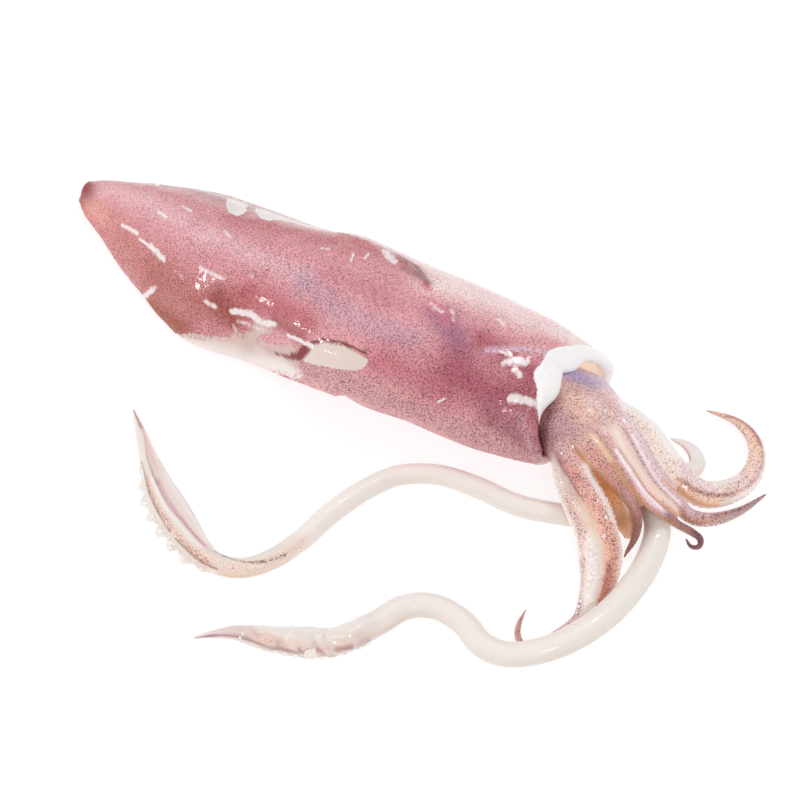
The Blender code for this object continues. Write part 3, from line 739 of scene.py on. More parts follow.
# An arm's forms: their height as a share of its radius and their width in degrees, how far round the
# folds stand from the middle of its inner side, and where along the arm they begin and are whole.
FLAT_DEPTH, FLAT_WIDTH, KEEL_HEIGHT, KEEL_WIDTH = 0.18, 38, 0.24, 22
FOLD_HEIGHT, FOLD_WIDTH, FOLD_TURN, FORMS_START = 0.10, 18, 52, (0.05, 0.30)
ARM_SMOOTHING, HEAD_SMOOTHING, SMOOTHINGS = 0.08, 0.5, 12  # how far the one skin is evened out each time
PLACES_AT_ONCE = 20000  # how many places are set against a limb in one go
INNER_WIDTH = 58  # degrees to each side of the inner side's middle that have its pale skin
# The places of the limbs are millimetres from the tail: forwards, to the left and up.
# Head: middle of each slice and its half sizes as shares of half HEAD_WIDTH and half HEAD_HEIGHT.
HEAD_STATIONS = (
    (173, -0.5, 16.5, 0.50, 0.40), (180, -0.5, 16.5, 0.68, 0.66), (190, -1.0, 16.5, 0.80, 0.84),
    (198, -2.1, 16.1, 0.93, 0.93), (204, -3.8, 16.5, 1.02, 0.94), (210, -6.0, 16.3, 1.00, 0.93),
    (216, -6.6, 16.2, 0.80, 0.78), (220, -7.6, 15.5, 0.48, 0.45),
)
# Arms: middle line and radius.
ARM_ROUTES = {
    "right_1": (
        (206, -11, 24, 4.0), (213.3, -15.8, 26, 3.8), (219.5, -18.6, 24, 3.5), (226.5, -20.2, 19.5, 2.8),
        (232.4, -21.8, 15, 2.0), (236, -24, 11, 1.5), (237.5, -28, 7, 1.2), (237, -34, 3, 0.4),
    ),
    "right_2": (
        (203, -13, 20, 4.2), (208, -19.5, 22, 4.1), (216.5, -24.5, 19.5, 3.4), (225, -28.5, 15.5, 2.9),
        (230.5, -32.5, 11, 2.8), (235, -37, 6, 2.7), (237.0, -42.5, 3.8, 2.4), (237.4, -48, 2.8, 2.0),
        (237.4, -54, 1.6, 0.8),
    ),
    "right_3": (
        (202, -12.5, 14, 4.2), (206, -18.3, 16.5, 4.1), (210.4, -24.1, 14.5, 3.6), (216.9, -29.9, 12, 3.4),
        (223.5, -34.5, 9, 3.5), (228.5, -40, 5.4, 3.6), (232.4, -46.5, 3.8, 3.4), (234.2, -53, 3.0, 2.9),
        (234.4, -59.6, 2.0, 1.9), (231.7, -66.4, 1.6, 1.5), (228.4, -71.9, 1.4, 1.3),
        (224.6, -75.6, 1.2, 1.1), (221.2, -74.3, 1.3, 1.2), (219.3, -69.8, 1.3, 1.0),
        (218.9, -63.5, 0.8, 0.35),
    ),
    "right_4": (
        (207, -8, 9, 4.4), (214, -6.5, 6.5, 4.0), (221, -4.5, 4.2, 3.4), (227, -3.3, 3.0, 2.8),
        (233, -2.8, 2.2, 2.1), (238, -3, 1.5, 1.4), (242, -4.5, 1.0, 0.4),
    ),
    "left_1": (
        (207, -5, 24, 3.9), (214, -9.6, 26, 3.4), (221, -14.3, 25, 2.5), (228.6, -17.1, 21.5, 2.0),
        (235.4, -19.5, 17.5, 1.9), (241.2, -19.3, 13.5, 1.7), (247, -17.3, 8, 1.4), (251.5, -14.8, 3.4, 1.3),
        (254.8, -14.7, 1.8, 1.1), (255.5, -17.3, 1.4, 0.9), (253.2, -18.4, 1.2, 0.7),
        (250.7, -16.5, 1.1, 0.4),
    ),
    "left_2": (
        (209, 0, 23, 4.0), (218, -3, 24, 3.4), (224.5, -6.4, 22.3, 2.9), (230.8, -9.6, 19, 2.5),
        (237.4, -11.8, 15.4, 2.4), (243.6, -11.6, 10.6, 2.2), (248.5, -10.5, 4.8, 2.4), (255, -7, 2.9, 2.2),
        (261.5, 1.5, 1.8, 1.4), (266, 12, 0.9, 0.4),
    ),
    "left_3": (
        (206, 4.0, 18.5, 4.4), (216, 3.8, 19.4, 4.0), (224.3, 3.3, 17, 3.9), (232, 0.6, 12.5, 4.1),
        (240.8, -2.2, 8, 4.3), (248.8, -2, 5, 4.3), (255, 2.8, 4.2, 4.0), (259, 10.4, 3.6, 3.5),
        (259.2, 18.4, 3.1, 3.0), (256.5, 25.3, 2.6, 2.5), (251.5, 30.4, 2.1, 2.0), (244.8, 32.8, 1.6, 1.3),
        (235.5, 32.2, 1.0, 0.4),
    ),
    "left_4": (
        (206, 2, 10, 4.4), (214, 4, 8, 4.0), (223, 5.0, 6, 3.4), (232.5, 4.2, 4, 3.2), (240, 4.3, 3.0, 2.9),
        (242.8, 8.5, 2.8, 2.7), (240.3, 13, 2.4, 2.3), (235.6, 15.5, 1.7, 1.5), (230, 15.7, 1.0, 0.4),
    ),
}
# The webs between the arms: the two arms and how far along them the web reaches, in metres.
WEBS = (
    ("right_3", "right_2", 0.052), ("right_2", "right_1", 0.006), ("right_1", "left_1", 0.026),
    ("left_1", "left_2", 0.046), ("left_2", "left_3", 0.038), ("left_3", "left_4", 0.024),
    ("right_4", "left_4", 0.020), ("right_3", "right_4", 0.014),
)
WEB_START, WEB_SPACING, WEB_THICKNESS, WEB_LIFT = 0.002, 0.0008, 0.0018, 0.25
CROWN = (206, -4, 15)  # the middle of the ring of arms
# The cone of flesh round the mouth, inside the ring of arms.
MOUTH_ROUTE = (
    (210, -8, 14, 6.0), (217, -12.5, 12, 6.0), (223, -16.5, 10, 5.4), (229, -20.5, 8, 4.8),
    (233.5, -24.5, 6, 3.8), (235.5, -28, 4.4, 1.0),
)
# Where the suckers face, in degrees round the arm from its top towards its right side, and the
# colours of its skin at the root, in the middle and at the tip.
ARM_LOOKS = {
    "right_1": (150, (220, 184, 178), (188, 142, 130), (138, 92, 84)),
    "right_2": (-98, (214, 180, 178), (230, 188, 174), (184, 124, 112)),
    "right_3": (-62, (214, 192, 190), (230, 214, 206), (186, 140, 140)),
    "right_4": (180, (224, 190, 156), (226, 198, 170), (200, 160, 150)),
    "left_1": (178, (226, 192, 190), (204, 164, 154), (118, 78, 84)),
    "left_2": (170, (226, 198, 204), (214, 184, 190), (176, 140, 142)),
    "left_3": (112, (238, 222, 218), (234, 212, 204), (228, 186, 174)),
    "left_4": (110, (242, 234, 230), (238, 230, 226), (170, 120, 122)),
    "mouth": (180, (224, 178, 124), (200, 152, 108), (228, 198, 172)),
}
# Soft fields of colour along the arms: the arm, the line that they follow in millimetres from its root
# and degrees round it, how far they reach in millimetres, their strength and colour, and how spotted.
ARM_FIELDS = (
    ("right_1", ((12, 40), (22, 30)), 2.4, 0.8, (204, 150, 144), 1.15),
    ("right_1", ((8, -12), (17, -12)), 0.8, 0.9, (232, 200, 164), 0.1),
    ("right_1", ((18, -10), (25, -8), (30, -22)), 0.8, 0.9, (206, 156, 116), 0.1),
    ("right_1", ((10, 112), (16, 106)), 1.6, 0.9, (204, 150, 98), 0.1),
    ("right_1", ((18, 100), (28, 100), (38, 100)), 2.2, 0.9, (176, 118, 80), 0.1),
    ("right_1", ((27, 22), (38, 20)), 1.2, 0.8, (194, 152, 162), 0.6),
    ("right_1", ((38, 30), (50, 40)), 3.5, 0.9, (152, 102, 92), 0.6),
    # Brown on the side towards right_1: painted shade in the hollow between them.
    ("right_2", ((9, -26), (14, -42), (20, -64), (34, -66)), 1.5, 0.95, (176, 116, 72), 0.0),
    ("right_2", ((16, -24), (22, -16), (33, -16)), 1.3, 0.95, (242, 234, 232), 0.15),
    ("right_2", ((35, -44), (50, -40)), 1.6, 0.85, (232, 214, 204), 0.5),
    ("right_2", ((20, 10), (28, 12)), 1.0, 0.6, (216, 184, 180), 1.2),
    ("right_2", ((30, 16), (50, 14)), 1.6, 0.7, (204, 158, 142), 1.4),
    # Dark purple on the side towards right_3: painted shade in the cleft between them.
    ("right_2", ((10, 90), (14, 100), (20, 104)), 2.6, 0.95, (146, 82, 94), 1.1),
    ("right_2", ((14, 46), (20, 48)), 1.8, 0.9, (216, 158, 152), 1.2),
    ("right_2", ((22, 60), (40, 50)), 2.4, 0.9, (232, 180, 168), 1.2),
    ("right_2", ((28, 96), (36, 84), (46, 60)), 1.4, 0.8, (242, 196, 174), 0.9),
    ("right_2", ((50, 30), (56, 20)), 2.0, 0.9, (184, 120, 108), 1.1),
    ("right_3", ((9, 70), (12, 70)), 3.5, 0.7, (214, 196, 192), 0.6),
    ("right_3", ((14, 90), (14, 30), (22, 20), (30, 10)), 3.0, 0.95, (223, 208, 199), 0.55),
    ("right_3", ((22, 52), (44, 52)), 2.0, 0.85, (214, 180, 174), 1.15),
    ("right_3", ((42, 58), (54, 60)), 1.6, 0.8, (208, 166, 158), 1.2),
    ("right_3", ((12, 100), (20, 104), (40, 104)), 1.8, 0.9, (238, 234, 228), 0.3),
    ("right_3", ((20, -22), (25, -30), (34, -44), (44, -64), (54, -84)), 0.9, 0.9, (222, 166, 146), 0.2),
    ("right_3", ((26, -18), (38, -40)), 2.0, 0.9, (240, 218, 198), 0.1),
    ("right_3", ((38, 0), (56, 10)), 3.0, 0.9, (242, 238, 234), 0.1),
    ("right_3", ((9.5, 30), (12, 14), (15, -4), (20, -20)), 0.6, 0.95, (176, 84, 100), 0.5),
    ("right_3", ((58, 50), (63, 60)), 2.2, 0.8, (164, 120, 138), 0.9),
    ("right_3", ((80, -40), (95, -20)), 5.0, 0.7, (184, 128, 124), 1.0),
    ("left_1", ((7, -56), (14, -60)), 2.6, 0.8, (240, 218, 208), 0.3),
    ("left_1", ((10, -90), (34, -92), (46, -72)), 1.0, 0.95, (240, 220, 204), 0.0),
    ("left_1", ((10, -80), (50, -76)), 2.5, 0.95, (246, 224, 214), 0.3),
    ("left_1", ((18, -44), (28, -46)), 1.6, 0.85, (208, 160, 136), 0.8),
    ("left_1", ((30, -46), (48, -40)), 1.6, 0.85, (194, 134, 114), 1.0),
    ("left_1", ((20, 22), (30, 26), (42, 22)), 1.2, 0.8, (232, 210, 226), 0.35),
    # A painted highlight: a white line along the arm's ridge.
    ("left_1", ((17, 4), (26, 5), (30, 0), (36, -5), (43, 6)), 0.60, 1.0, (255, 248, 255), 0.0),
    ("left_1", ((14, 34), (24, 50), (32, 64)), 1.4, 0.7, (202, 152, 142), 1.2),
    ("left_1", ((28, 84), (36, 104), (46, 100)), 2.2, 0.9, (190, 136, 98), 0.5),
    ("left_1", ((43, 14), (51, 10)), 1.5, 0.9, (152, 104, 124), 1.1),
    ("left_1", ((46, 56), (54, 60)), 2.6, 0.9, (166, 118, 94), 0.9),
    ("left_1", ((56, 0), (66, 20)), 4.0, 0.9, (124, 76, 84), 0.8),
    ("left_2", ((4, -40), (30, -40)), 3.2, 0.8, (230, 208, 214), 0.8),
    ("left_2", ((8, 58), (30, 60), (42, 78)), 1.2, 0.95, (240, 216, 198), 0.1),
    ("left_2", ((12, 30), (20, 30), (30, 40), (42, 52)), 0.6, 0.6, (180, 140, 146), 1.3),
    # A painted highlight: a white line along the arm's ridge.
    ("left_2", ((15, 7), (25, 14), (33, 25), (41, 32)), 0.50, 1.0, (255, 248, 255), 0.0),
    ("left_2", ((32, -24), (38, -26), (44, -24)), 1.2, 0.95, (214, 154, 88), 0.2),
    ("left_2", ((42, 0), (47, -24), (60, -40)), 1.8, 0.9, (204, 168, 188), 0.6),
    ("left_2", ((43, 56), (48, 90), (54, 40)), 1.8, 0.9, (186, 128, 94), 0.9),
    ("left_2", ((52, 30), (60, 20)), 1.6, 0.7, (204, 168, 150), 1.2),
    ("left_2", ((56, 0), (70, 2)), 0.9, 0.8, (150, 108, 116), 1.3),
    ("left_3", ((2, -50), (30, -50)), 3.2, 0.95, (246, 244, 243), 0.0),
    ("left_3", ((18, 20), (36, 24)), 2.4, 0.9, (242, 224, 214), 0.95),
    ("left_3", ((36, -24), (50, -20)), 2.4, 0.8, (236, 210, 216), 0.8),
    ("left_3", ((38, 25), (47, 18), (54, 30), (64, 38), (76, 30), (86, 16)), 0.7, 0.8, (170, 112, 112), 1.5),
    # Golden where the arm lies in the recess beside left_2: painted shade of that recess.
    ("left_3", ((39, 66), (50, 76)), 2.4, 0.9, (230, 184, 138), 0.6),
    ("left_3", ((40, 92), (50, 98)), 2.0, 0.8, (226, 184, 140), 0.4),
    ("left_3", ((57, 60), (80, 60)), 1.6, 0.9, (242, 230, 224), 0.2),
    ("left_3", ((52, -44), (62, -44)), 1.4, 0.8, (240, 234, 232), 0.1),
    ("left_3", ((58, 4), (66, 4)), 1.8, 0.7, (226, 196, 196), 1.0),
    ("left_3", ((66, -34), (80, -34), (92, -20)), 2.6, 0.85, (246, 212, 200), 0.8),
    ("left_3", ((74, -12), (90, -20)), 1.2, 0.7, (244, 208, 176), 0.9),
    ("left_3", ((80, 24), (88, 26), (94, 10)), 1.5, 0.9, (186, 120, 110), 1.0),
    ("left_4", ((0, 0), (57, 0)), 14.0, 0.9, (244, 239, 236), 0.0),
    ("left_4", ((42, -64), (48, -70), (57, -60)), 0.5, 0.9, (170, 84, 84), 0.4),
    # A dark brown band round the mouth: partly its own colour, partly painted shade deep in the hollow among
    # the arms.
    ("mouth", ((15.5, -170), (15.5, 170)), 2.4, 0.85, (178, 120, 70), 0.0),
    ("mouth", ((28, -170), (28, 170)), 3.6, 0.9, (200, 146, 114), 0.0),
)
# Fields on the head, whose lines are forwards and to the left in millimetres from the tail.
HEAD_FIELDS = (
    (((192, 3), (199, 4.5), (205, 5)), 3.6, 0.9, (156, 146, 184), 0.8),
    # Dark where the head sits in the mantle's mouth on the near side: painted shade.
    (((196, -8), (197.5, -13), (199, -20)), 3.6, 0.95, (136, 84, 90), 1.3),
    (((203, -14), (206, -20)), 4.0, 0.8, (188, 148, 158), 1.2),
    (((202, -5), (208, -8)), 4.0, 0.75, (222, 188, 172), 1.0),
    (((209, 4), (217, 3)), 3.4, 0.7, (232, 208, 214), 0.8),
    (((207, -3), (213, -4)), 2.6, 0.7, (232, 210, 206), 0.9),
    (((200, 6), (206, 8)), 2.4, 0.7, (196, 168, 196), 0.8),
)
HEAD_COLOUR = (210, 170, 166)
INNER_COLOUR = (240, 214, 178)
HOLLOW_GLOW = (212, 144, 98)  # painted glow: emission that lightens the shaded hollow between the arms, for light through its thin flesh
DEGREES_PER_MM = 15  # round an arm of middling width
SUCKER_COLOUR = (252, 240, 232)
# The arms' dots, as on the mantle.
ARM_DOTS = {
    "large": (0.00053, 0.33, 0.08, 0.26), "fine": (0.00042, 0.40, 0.14, 0.24),
    "between": (1.26, 1.24, 1.22), "freckle": (0.92, 0.80, 0.80), "dark": (0.20, 0.10, 0.11),
}
DOTS_SHOW = 1.6  # how soon the dots show where the skin is only a little spotted
# The arms' emission strength serves the painted glow in the hollow.
ARM_FINISH = {"Subsurface Radius": (1.0, 0.6, 0.5), "Emission Strength": 0.28, "Roughness": 0.40}
ARM_GRAIN, ARM_FILM = ((0.0011, 0.00008),), ((0.004, 0.0003), (0.0012, 0.00005))


def middle_line(route, spacing):
    """Rows (x, y, z, radius) every so often along a route, in metres in the squid's own place."""
    route = np.array(route, float) / 1000
    gaps = np.linalg.norm(np.diff(route[:, :3], axis=0), axis=1)
    steps = np.maximum(np.round(gaps / spacing).astype(int), 1)
    at = np.concatenate([k + np.arange(n) / n for k, n in enumerate(steps)] + [[len(steps)]])
    line = smooth(np.arange(len(route)), route, at)
    line[:, :3] += np.array(tail)
    return line


def far_along(line):
    """How far each row of a middle line is from its first, in metres."""
    return np.append(0, np.cumsum(np.linalg.norm(np.diff(line[:, :3], axis=0), axis=1)))


def limb_frame(line):
    """Along, up and right-hand directions at every row of a middle line."""
    ahead = np.gradient(line[:, :3], axis=0)
    ahead /= np.linalg.norm(ahead, axis=1)[:, None]
    up = np.array((0, 0, 1.0)) - ahead[:, 2:] * ahead
    up /= np.linalg.norm(up, axis=1)[:, None]
    return ahead, up, np.cross(ahead, up)


def limb_rings(line, shape, sides):
    """Rings round a middle line. The shape gives the share of the radius at each angle and row."""
    ahead, up, right = limb_frame(line)
    turn = 2 * math.pi * np.arange(sides) / sides
    radius = line[:, 3:] * shape(turn[None, :], np.linspace(0, 1, len(line))[:, None])
    ring = up[:, None] * np.cos(turn)[None, :, None] + right[:, None] * np.sin(turn)[None, :, None]
    rings = line[:, None, :3] + radius[..., None] * ring
    rings[..., 2] = np.maximum(rings[..., 2], 0)
    return rings


def bump_at(turn, degrees, width):
    """1 at this angle round a limb, falling to 0 over the width in degrees."""
    return hump(np.degrees(np.angle(np.exp(1j * (turn - math.radians(degrees))))), 0, width)


def arm_shape(oral):
    """An arm's outline: a keel along its back, a flat inner side and a fold at each edge of it."""
    def shape(turn, share):
        flat = -FLAT_DEPTH * bump_at(turn, oral, FLAT_WIDTH)
        keel = KEEL_HEIGHT * bump_at(turn, oral + 180, KEEL_WIDTH)
        folds = sum(bump_at(turn, oral + off, FOLD_WIDTH) for off in (-FOLD_TURN, FOLD_TURN))
        return 1 + (flat + keel + FOLD_HEIGHT * folds) * step(share, *FORMS_START)
    return shape


def averaged(piece, values, share, times):
    """The values of each vertex, drawn towards the mean of its neighbours' by this share or its own."""
    ends = np.empty(len(piece.data.edges) * 2, np.int32)
    piece.data.edges.foreach_get("vertices", ends)
    a, b = ends.reshape(-1, 2).T
    count = np.bincount(a, minlength=len(values)) + np.bincount(b, minlength=len(values))
    share = np.broadcast_to(share, len(values))[:, None]
    for _ in range(times):
        total = np.stack([
            np.bincount(a, column[b], len(values)) + np.bincount(b, column[a], len(values))
            for column in values.T
        ], 1)
        values = values + share * (total / count[:, None] - values)
    return values


def plain_copy(piece, name):
    """The piece with its modifiers applied, as a new plain object in its place."""
    graph = bpy.context.evaluated_depsgraph_get()
    data = bpy.data.meshes.new_from_object(piece.evaluated_get(graph))
    bpy.data.objects.remove(piece)
    data.shade_smooth()
    return placed(name, data)


def web_rings(first, second, length):
    """A thin skin between two arms, from their roots to this length, as rings across it."""
    at = np.linspace(WEB_START, length, int(length / WEB_SPACING))
    one, two = (
        np.stack([np.interp(at, far_along(line), line[:, k]) for k in range(4)], 1)
        for line in (first, second)
    )
    middle = (one[:, :3] + two[:, :3]) / 2
    across = (two[:, :3] - one[:, :3]) / 2
    out = np.cross(across, np.gradient(middle, axis=0))
    out /= np.linalg.norm(out, axis=1)[:, None]
    out *= np.sign(((middle - crown) * out).sum(1))[:, None]
    middle = middle + out * (one[:, 3:] + two[:, 3:]) / 2 * WEB_LIFT
    turn = 2 * math.pi * np.arange(WEB_SIDES) / WEB_SIDES
    return (
        middle[:, None] + across[:, None] * np.cos(turn)[:, None]
        + out[:, None] * WEB_THICKNESS / 2 * np.sin(turn)[:, None]
    )


def head_rings():
    """The rings of the head, on a smooth curve through its stations."""
    stations = np.array(HEAD_STATIONS, float)
    at = np.linspace(0, len(stations) - 1, HEAD_SLICES)
    x, y, z, wide, high = smooth(np.arange(len(stations)), stations, at).T[..., None]
    turn = 2 * math.pi * np.arange(HEAD_SIDES) / HEAD_SIDES
    rings = np.stack([
        np.repeat(x, HEAD_SIDES, 1), y + wide * HEAD_WIDTH / 2 * np.cos(turn),
        z + high * HEAD_HEIGHT / 2 * np.sin(turn),
    ], -1)
    return rings / 1000 + np.array(tail)


def nearest_limb(places):
    """For each place the number of the limb it is nearest to, the share of the way along it and the
    angle round it."""
    near = np.full(len(places), np.inf)
    owner, share, angle = np.zeros(len(places), int), np.zeros(len(places)), np.zeros(len(places))
    for k, line in enumerate(lines.values()):
        ahead, up, right = limb_frame(line)
        for first in range(0, len(places), PLACES_AT_ONCE):
            some = slice(first, first + PLACES_AT_ONCE)
            gap = np.linalg.norm(places[some, None] - line[None, :, :3], axis=2) - line[None, :, 3]
            row = gap.argmin(1)
            best = gap[np.arange(len(gap)), row]
            off = places[some] - line[row, :3]
            round_limb = np.arctan2((off * right[row]).sum(1), (off * up[row]).sum(1))
            closer = best < near[some]
            near[some] = np.where(closer, best, near[some])
            owner[some] = np.where(closer, k, owner[some])
            share[some] = np.where(closer, row / (len(line) - 1), share[some])
            angle[some] = np.where(closer, round_limb, angle[some])
    return owner, share, angle


lines = {name: middle_line(route, ARM_SPACING) for name, route in ARM_ROUTES.items()}
lines["mouth"] = middle_line(MOUTH_ROUTE, ARM_SPACING)
crown = np.array(tail) + np.array(CROWN) / 1000
parts = [ring_mesh("head_part", head_rings())]
for name, line in lines.items():
    parts.append(ring_mesh("arm_part", limb_rings(line, arm_shape(ARM_LOOKS[name][0]), ARM_SIDES)))
parts += [ring_mesh("web_part", web_rings(lines[a], lines[b], length)) for a, b, length in WEBS]
with bpy.context.temp_override(active_object=parts[0], selected_editable_objects=parts):
    bpy.ops.object.join()
remesh = parts[0].modifiers.new("one skin", "REMESH")
remesh.mode = "VOXEL"
remesh.voxel_size = VOXEL
arms = plain_copy(parts[0], "head_and_arms_flesh")

places = read(arms, arms.data.vertices, "co", 3)
names = list(lines)
owner, share, angle = nearest_limb(places)
plan = (places[:, :2] - np.array(tail)[:2]) * 1000
on_head = fade(plan[:, 0] + 0.35 * (plan[:, 1] + 6), 208, 222)
move(arms, averaged(arms, places, ARM_SMOOTHING + HEAD_SMOOTHING * on_head, SMOOTHINGS) - places)

inner = np.zeros(len(places))
for k, name in enumerate(names):
    inner = np.where(owner == k, bump_at(angle, ARM_LOOKS[name][0], INNER_WIDTH), inner)
shades = np.array([[tone(*shade) for shade in ARM_LOOKS[name][1:]] for name in names])[owner]
part = (2 * share)[:, None]
skin_tone = np.where(
    part < 1, blend(shades[:, 0], shades[:, 1], part), blend(shades[:, 1], shades[:, 2], part - 1))
spotted = np.ones(len(places))


def paint(colour, spotted, places, line, reach, strength, shade, spots_here):
    """Blends a soft field of this colour and spottedness, which follows the line, into the two arrays."""
    share = strength * hump(to_line(places, line), 0, reach)
    return blend(colour, tone(*shade), share[:, None]), blend(spotted, spots_here, share)


def paint_limb(fields, name, far, degrees, colour, spotted):
    """Paints the fields of one limb, at this many millimetres from its root and degrees round it."""
    for limb, line, *rest in fields:
        if limb != name:
            continue
        middle = np.mean([turn for _, turn in line])
        turned = middle + (degrees - middle + 180) % 360 - 180
        line = [(mm, turn / DEGREES_PER_MM) for mm, turn in line]
        colour, spotted = paint(colour, spotted, np.stack([far, turned / DEGREES_PER_MM], 1), line, *rest)
    return colour, spotted


pale = step(inner, 0.25, 0.7)
inner_tone = blend(tone(*SUCKER_COLOUR), tone(*INNER_COLOUR), fade(share, 0.1, 0.45)[:, None])
skin_tone = blend(skin_tone, inner_tone, pale[:, None])
spotted -= pale
from_root = share * np.array([far_along(line)[-1] * 1000 for line in lines.values()])[owner]
for k, name in enumerate(names):
    mine = owner == k
    skin_tone[mine], spotted[mine] = paint_limb(
        ARM_FIELDS, name, from_root[mine], np.degrees(angle[mine]), skin_tone[mine], spotted[mine])
head_tone, head_spotted = np.tile(tone(*HEAD_COLOUR), (len(places), 1)), np.ones(len(places))
for field in HEAD_FIELDS:
    head_tone, head_spotted = paint(head_tone, head_spotted, plan, *field)
of_head = fade(from_root, 5, 11)
skin_tone = blend(skin_tone, head_tone, of_head[:, None])
spotted = blend(spotted, head_spotted, of_head)
looks = averaged(arms, np.concatenate([skin_tone, spotted[:, None]], 1), 0.5, 2)
attribute(arms, "skin colour", looks[:, :3] * (1 + 0.08 * lumps(places * 1000, 5, 8)[:, None]))
attribute(arms, "spotted", looks[:, 3])
# The painted glow in the hollow round the mouth, among the arms' roots.
hollow = (owner == names.index("mouth")) * step(from_root, 4, 9) * fade(from_root, 19, 27)
attribute(arms, "painted glow", averaged(arms, tone(*HOLLOW_GLOW) * hollow[:, None], 0.5, 4))

arm_skin, shader, place = wet_flesh("arm skin", ARM_FINISH)
any_spots = worked_out(arm_skin, "MULTIPLY", painted(arm_skin, "spotted", "Fac"), DOTS_SHOW, use_clamp=True)
feed(arm_skin, shader, "Base Color", dotted_skin(arm_skin, place, ARM_DOTS, any_spots))
feed(arm_skin, shader, "Emission Color", painted(arm_skin, "painted glow"))
bumpy(arm_skin, shader, place, "Normal", ARM_GRAIN)
bumpy(arm_skin, shader, place, "Coat Normal", ARM_FILM)
arms.data.materials.clear()
arms.data.materials.append(arm_skin)
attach(arms, "root")
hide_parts("head_and_arms")

# Suckers. Small muscular cups with a firm rim, in two alternating rows along the inner side of each arm
# and larger on the clubs: one soft ball with a ring on it, set on the skin again and again.
# Rows: the limb, where they begin and end in millimetres from its root, their degrees round it there,
# their width as a share of its radius and how uneven they are.
ARM_SUCKERS = (
    ("right_1", 14, 46, 150, 150, 0.36, 0.2), ("right_2", 16, 34, -38, -46, 0.34, 0.4),
    ("right_2", 34, 54, -60, -66, 0.38, 0.3), ("right_3", 24, 40, -74, -40, 0.36, 0.3),
    ("right_3", 38, 62, -14, 16, 0.52, 0.9), ("right_4", 10, 34, 180, 180, 0.36, 0.2),
    ("left_1", 14, 60, 178, 178, 0.36, 0.2), ("left_2", 30, 46, 175, 140, 0.36, 0.2),
    ("left_2", 46, 76, 112, 84, 0.32, 0.4), ("left_3", 30, 56, 118, 100, 0.30, 0.3),
    ("left_3", 56, 98, 96, 70, 0.30, 0.4), ("left_4", 20, 54, 140, 140, 0.34, 0.2),
)
CUP_WIDTH, CUP_DEPTH, RIM_WIDTH = 0.001, 0.0008, 0.00022  # of a cup whose size is 1
RIM_RADIUS, RIM_LIFT = 0.72, 0.36  # shares of half the cup's width and of its depth
CUP_GAP, ROW_ANGLE, CUP_SUNK = 0.68, 15, 0.24  # spacing per width, degrees and depth per width
LEAST_CUP, LEAST_GAP = 0.25, 0.3  # the narrowest cup and the closest spacing, in millimetres
SKIN_WITHIN = 0.008  # no limb's skin is farther from its middle line
FIRST_DRAW = 100  # the first of the RANDOM values that make a row uneven
# The cups' faint emission is a painted glow, for light through their thin flesh.
CUP_FINISH = {
    "Base Color": (*tone(*SUCKER_COLOUR), 1), "Subsurface Scale": 0.0006,
    "Subsurface Radius": (1.0, 0.8, 0.7), "Emission Color": (1.0, 0.93, 0.88, 1),
    "Emission Strength": 0.06, "Coat Weight": 0.25, "Roughness": 0.5,
}


def sucker_tree():
    """A Geometry Nodes tree that stands a cup on every point, along its facing and at its own size."""
    tree = bpy.data.node_groups.new("suckers", "GeometryNodeTree")
    sizes = dict.fromkeys(("Cup Width", "Cup Depth", "Rim Width"), "Float")
    for name, kind in {"Geometry": "Geometry", **sizes, "Material": "Material"}.items():
        tree.interface.new_socket(name, in_out="INPUT", socket_type="NodeSocket" + kind)
    tree.interface.new_socket("Geometry", in_out="OUTPUT", socket_type="NodeSocketGeometry")
    given = tree.nodes.new("NodeGroupInput").outputs

    def times(value, factor, operation="MULTIPLY"):
        return node(tree, "ShaderNodeMath", {0: value, 1: factor}, operation=operation)

    half = times(given["Cup Width"], 0.5)
    flat = times(given["Cup Depth"], given["Cup Width"], "DIVIDE")
    ball = node(tree, "GeometryNodeMeshUVSphere", {"Segments": 8, "Rings": 4, "Radius": half})
    squashed = node(tree, "ShaderNodeCombineXYZ", {"X": 1.0, "Y": 1.0, "Z": flat})
    ball = node(tree, "GeometryNodeTransform", {"Geometry": ball, "Scale": squashed})
    ring = {"Resolution": 8, "Radius": times(half, RIM_RADIUS)}
    ring = node(tree, "GeometryNodeCurvePrimitiveCircle", ring)
    profile = {"Resolution": 4, "Radius": times(given["Rim Width"], 0.5)}
    profile = node(tree, "GeometryNodeCurvePrimitiveCircle", profile)
    rim = node(tree, "GeometryNodeCurveToMesh", {"Curve": ring, "Profile Curve": profile})
    lift = node(tree, "ShaderNodeCombineXYZ", {"Z": times(given["Cup Depth"], RIM_LIFT)})
    rim = node(tree, "GeometryNodeTransform", {"Geometry": rim, "Translation": lift})
    cup = node(tree, "GeometryNodeJoinGeometry", {"Geometry": ball})
    tree.links.new(rim, cup.node.inputs[0])
    facing = node(tree, "GeometryNodeInputNamedAttribute", {"Name": "facing"}, data_type="FLOAT_VECTOR")
    size = node(tree, "GeometryNodeInputNamedAttribute", {"Name": "size"}, data_type="FLOAT")
    turned = node(tree, "FunctionNodeAlignRotationToVector", {"Vector": facing}, axis="Z")
    cups = node(tree, "GeometryNodeInstanceOnPoints", {
        "Points": given["Geometry"], "Instance": cup, "Rotation": turned, "Scale": size,
    })
    cups = node(tree, "GeometryNodeRealizeInstances", {"Geometry": cups})
    cups = node(tree, "GeometryNodeSetMaterial", {"Geometry": cups, "Material": given["Material"]})
    tree.links.new(cups, tree.nodes.new("NodeGroupOutput").inputs[0])
    return tree


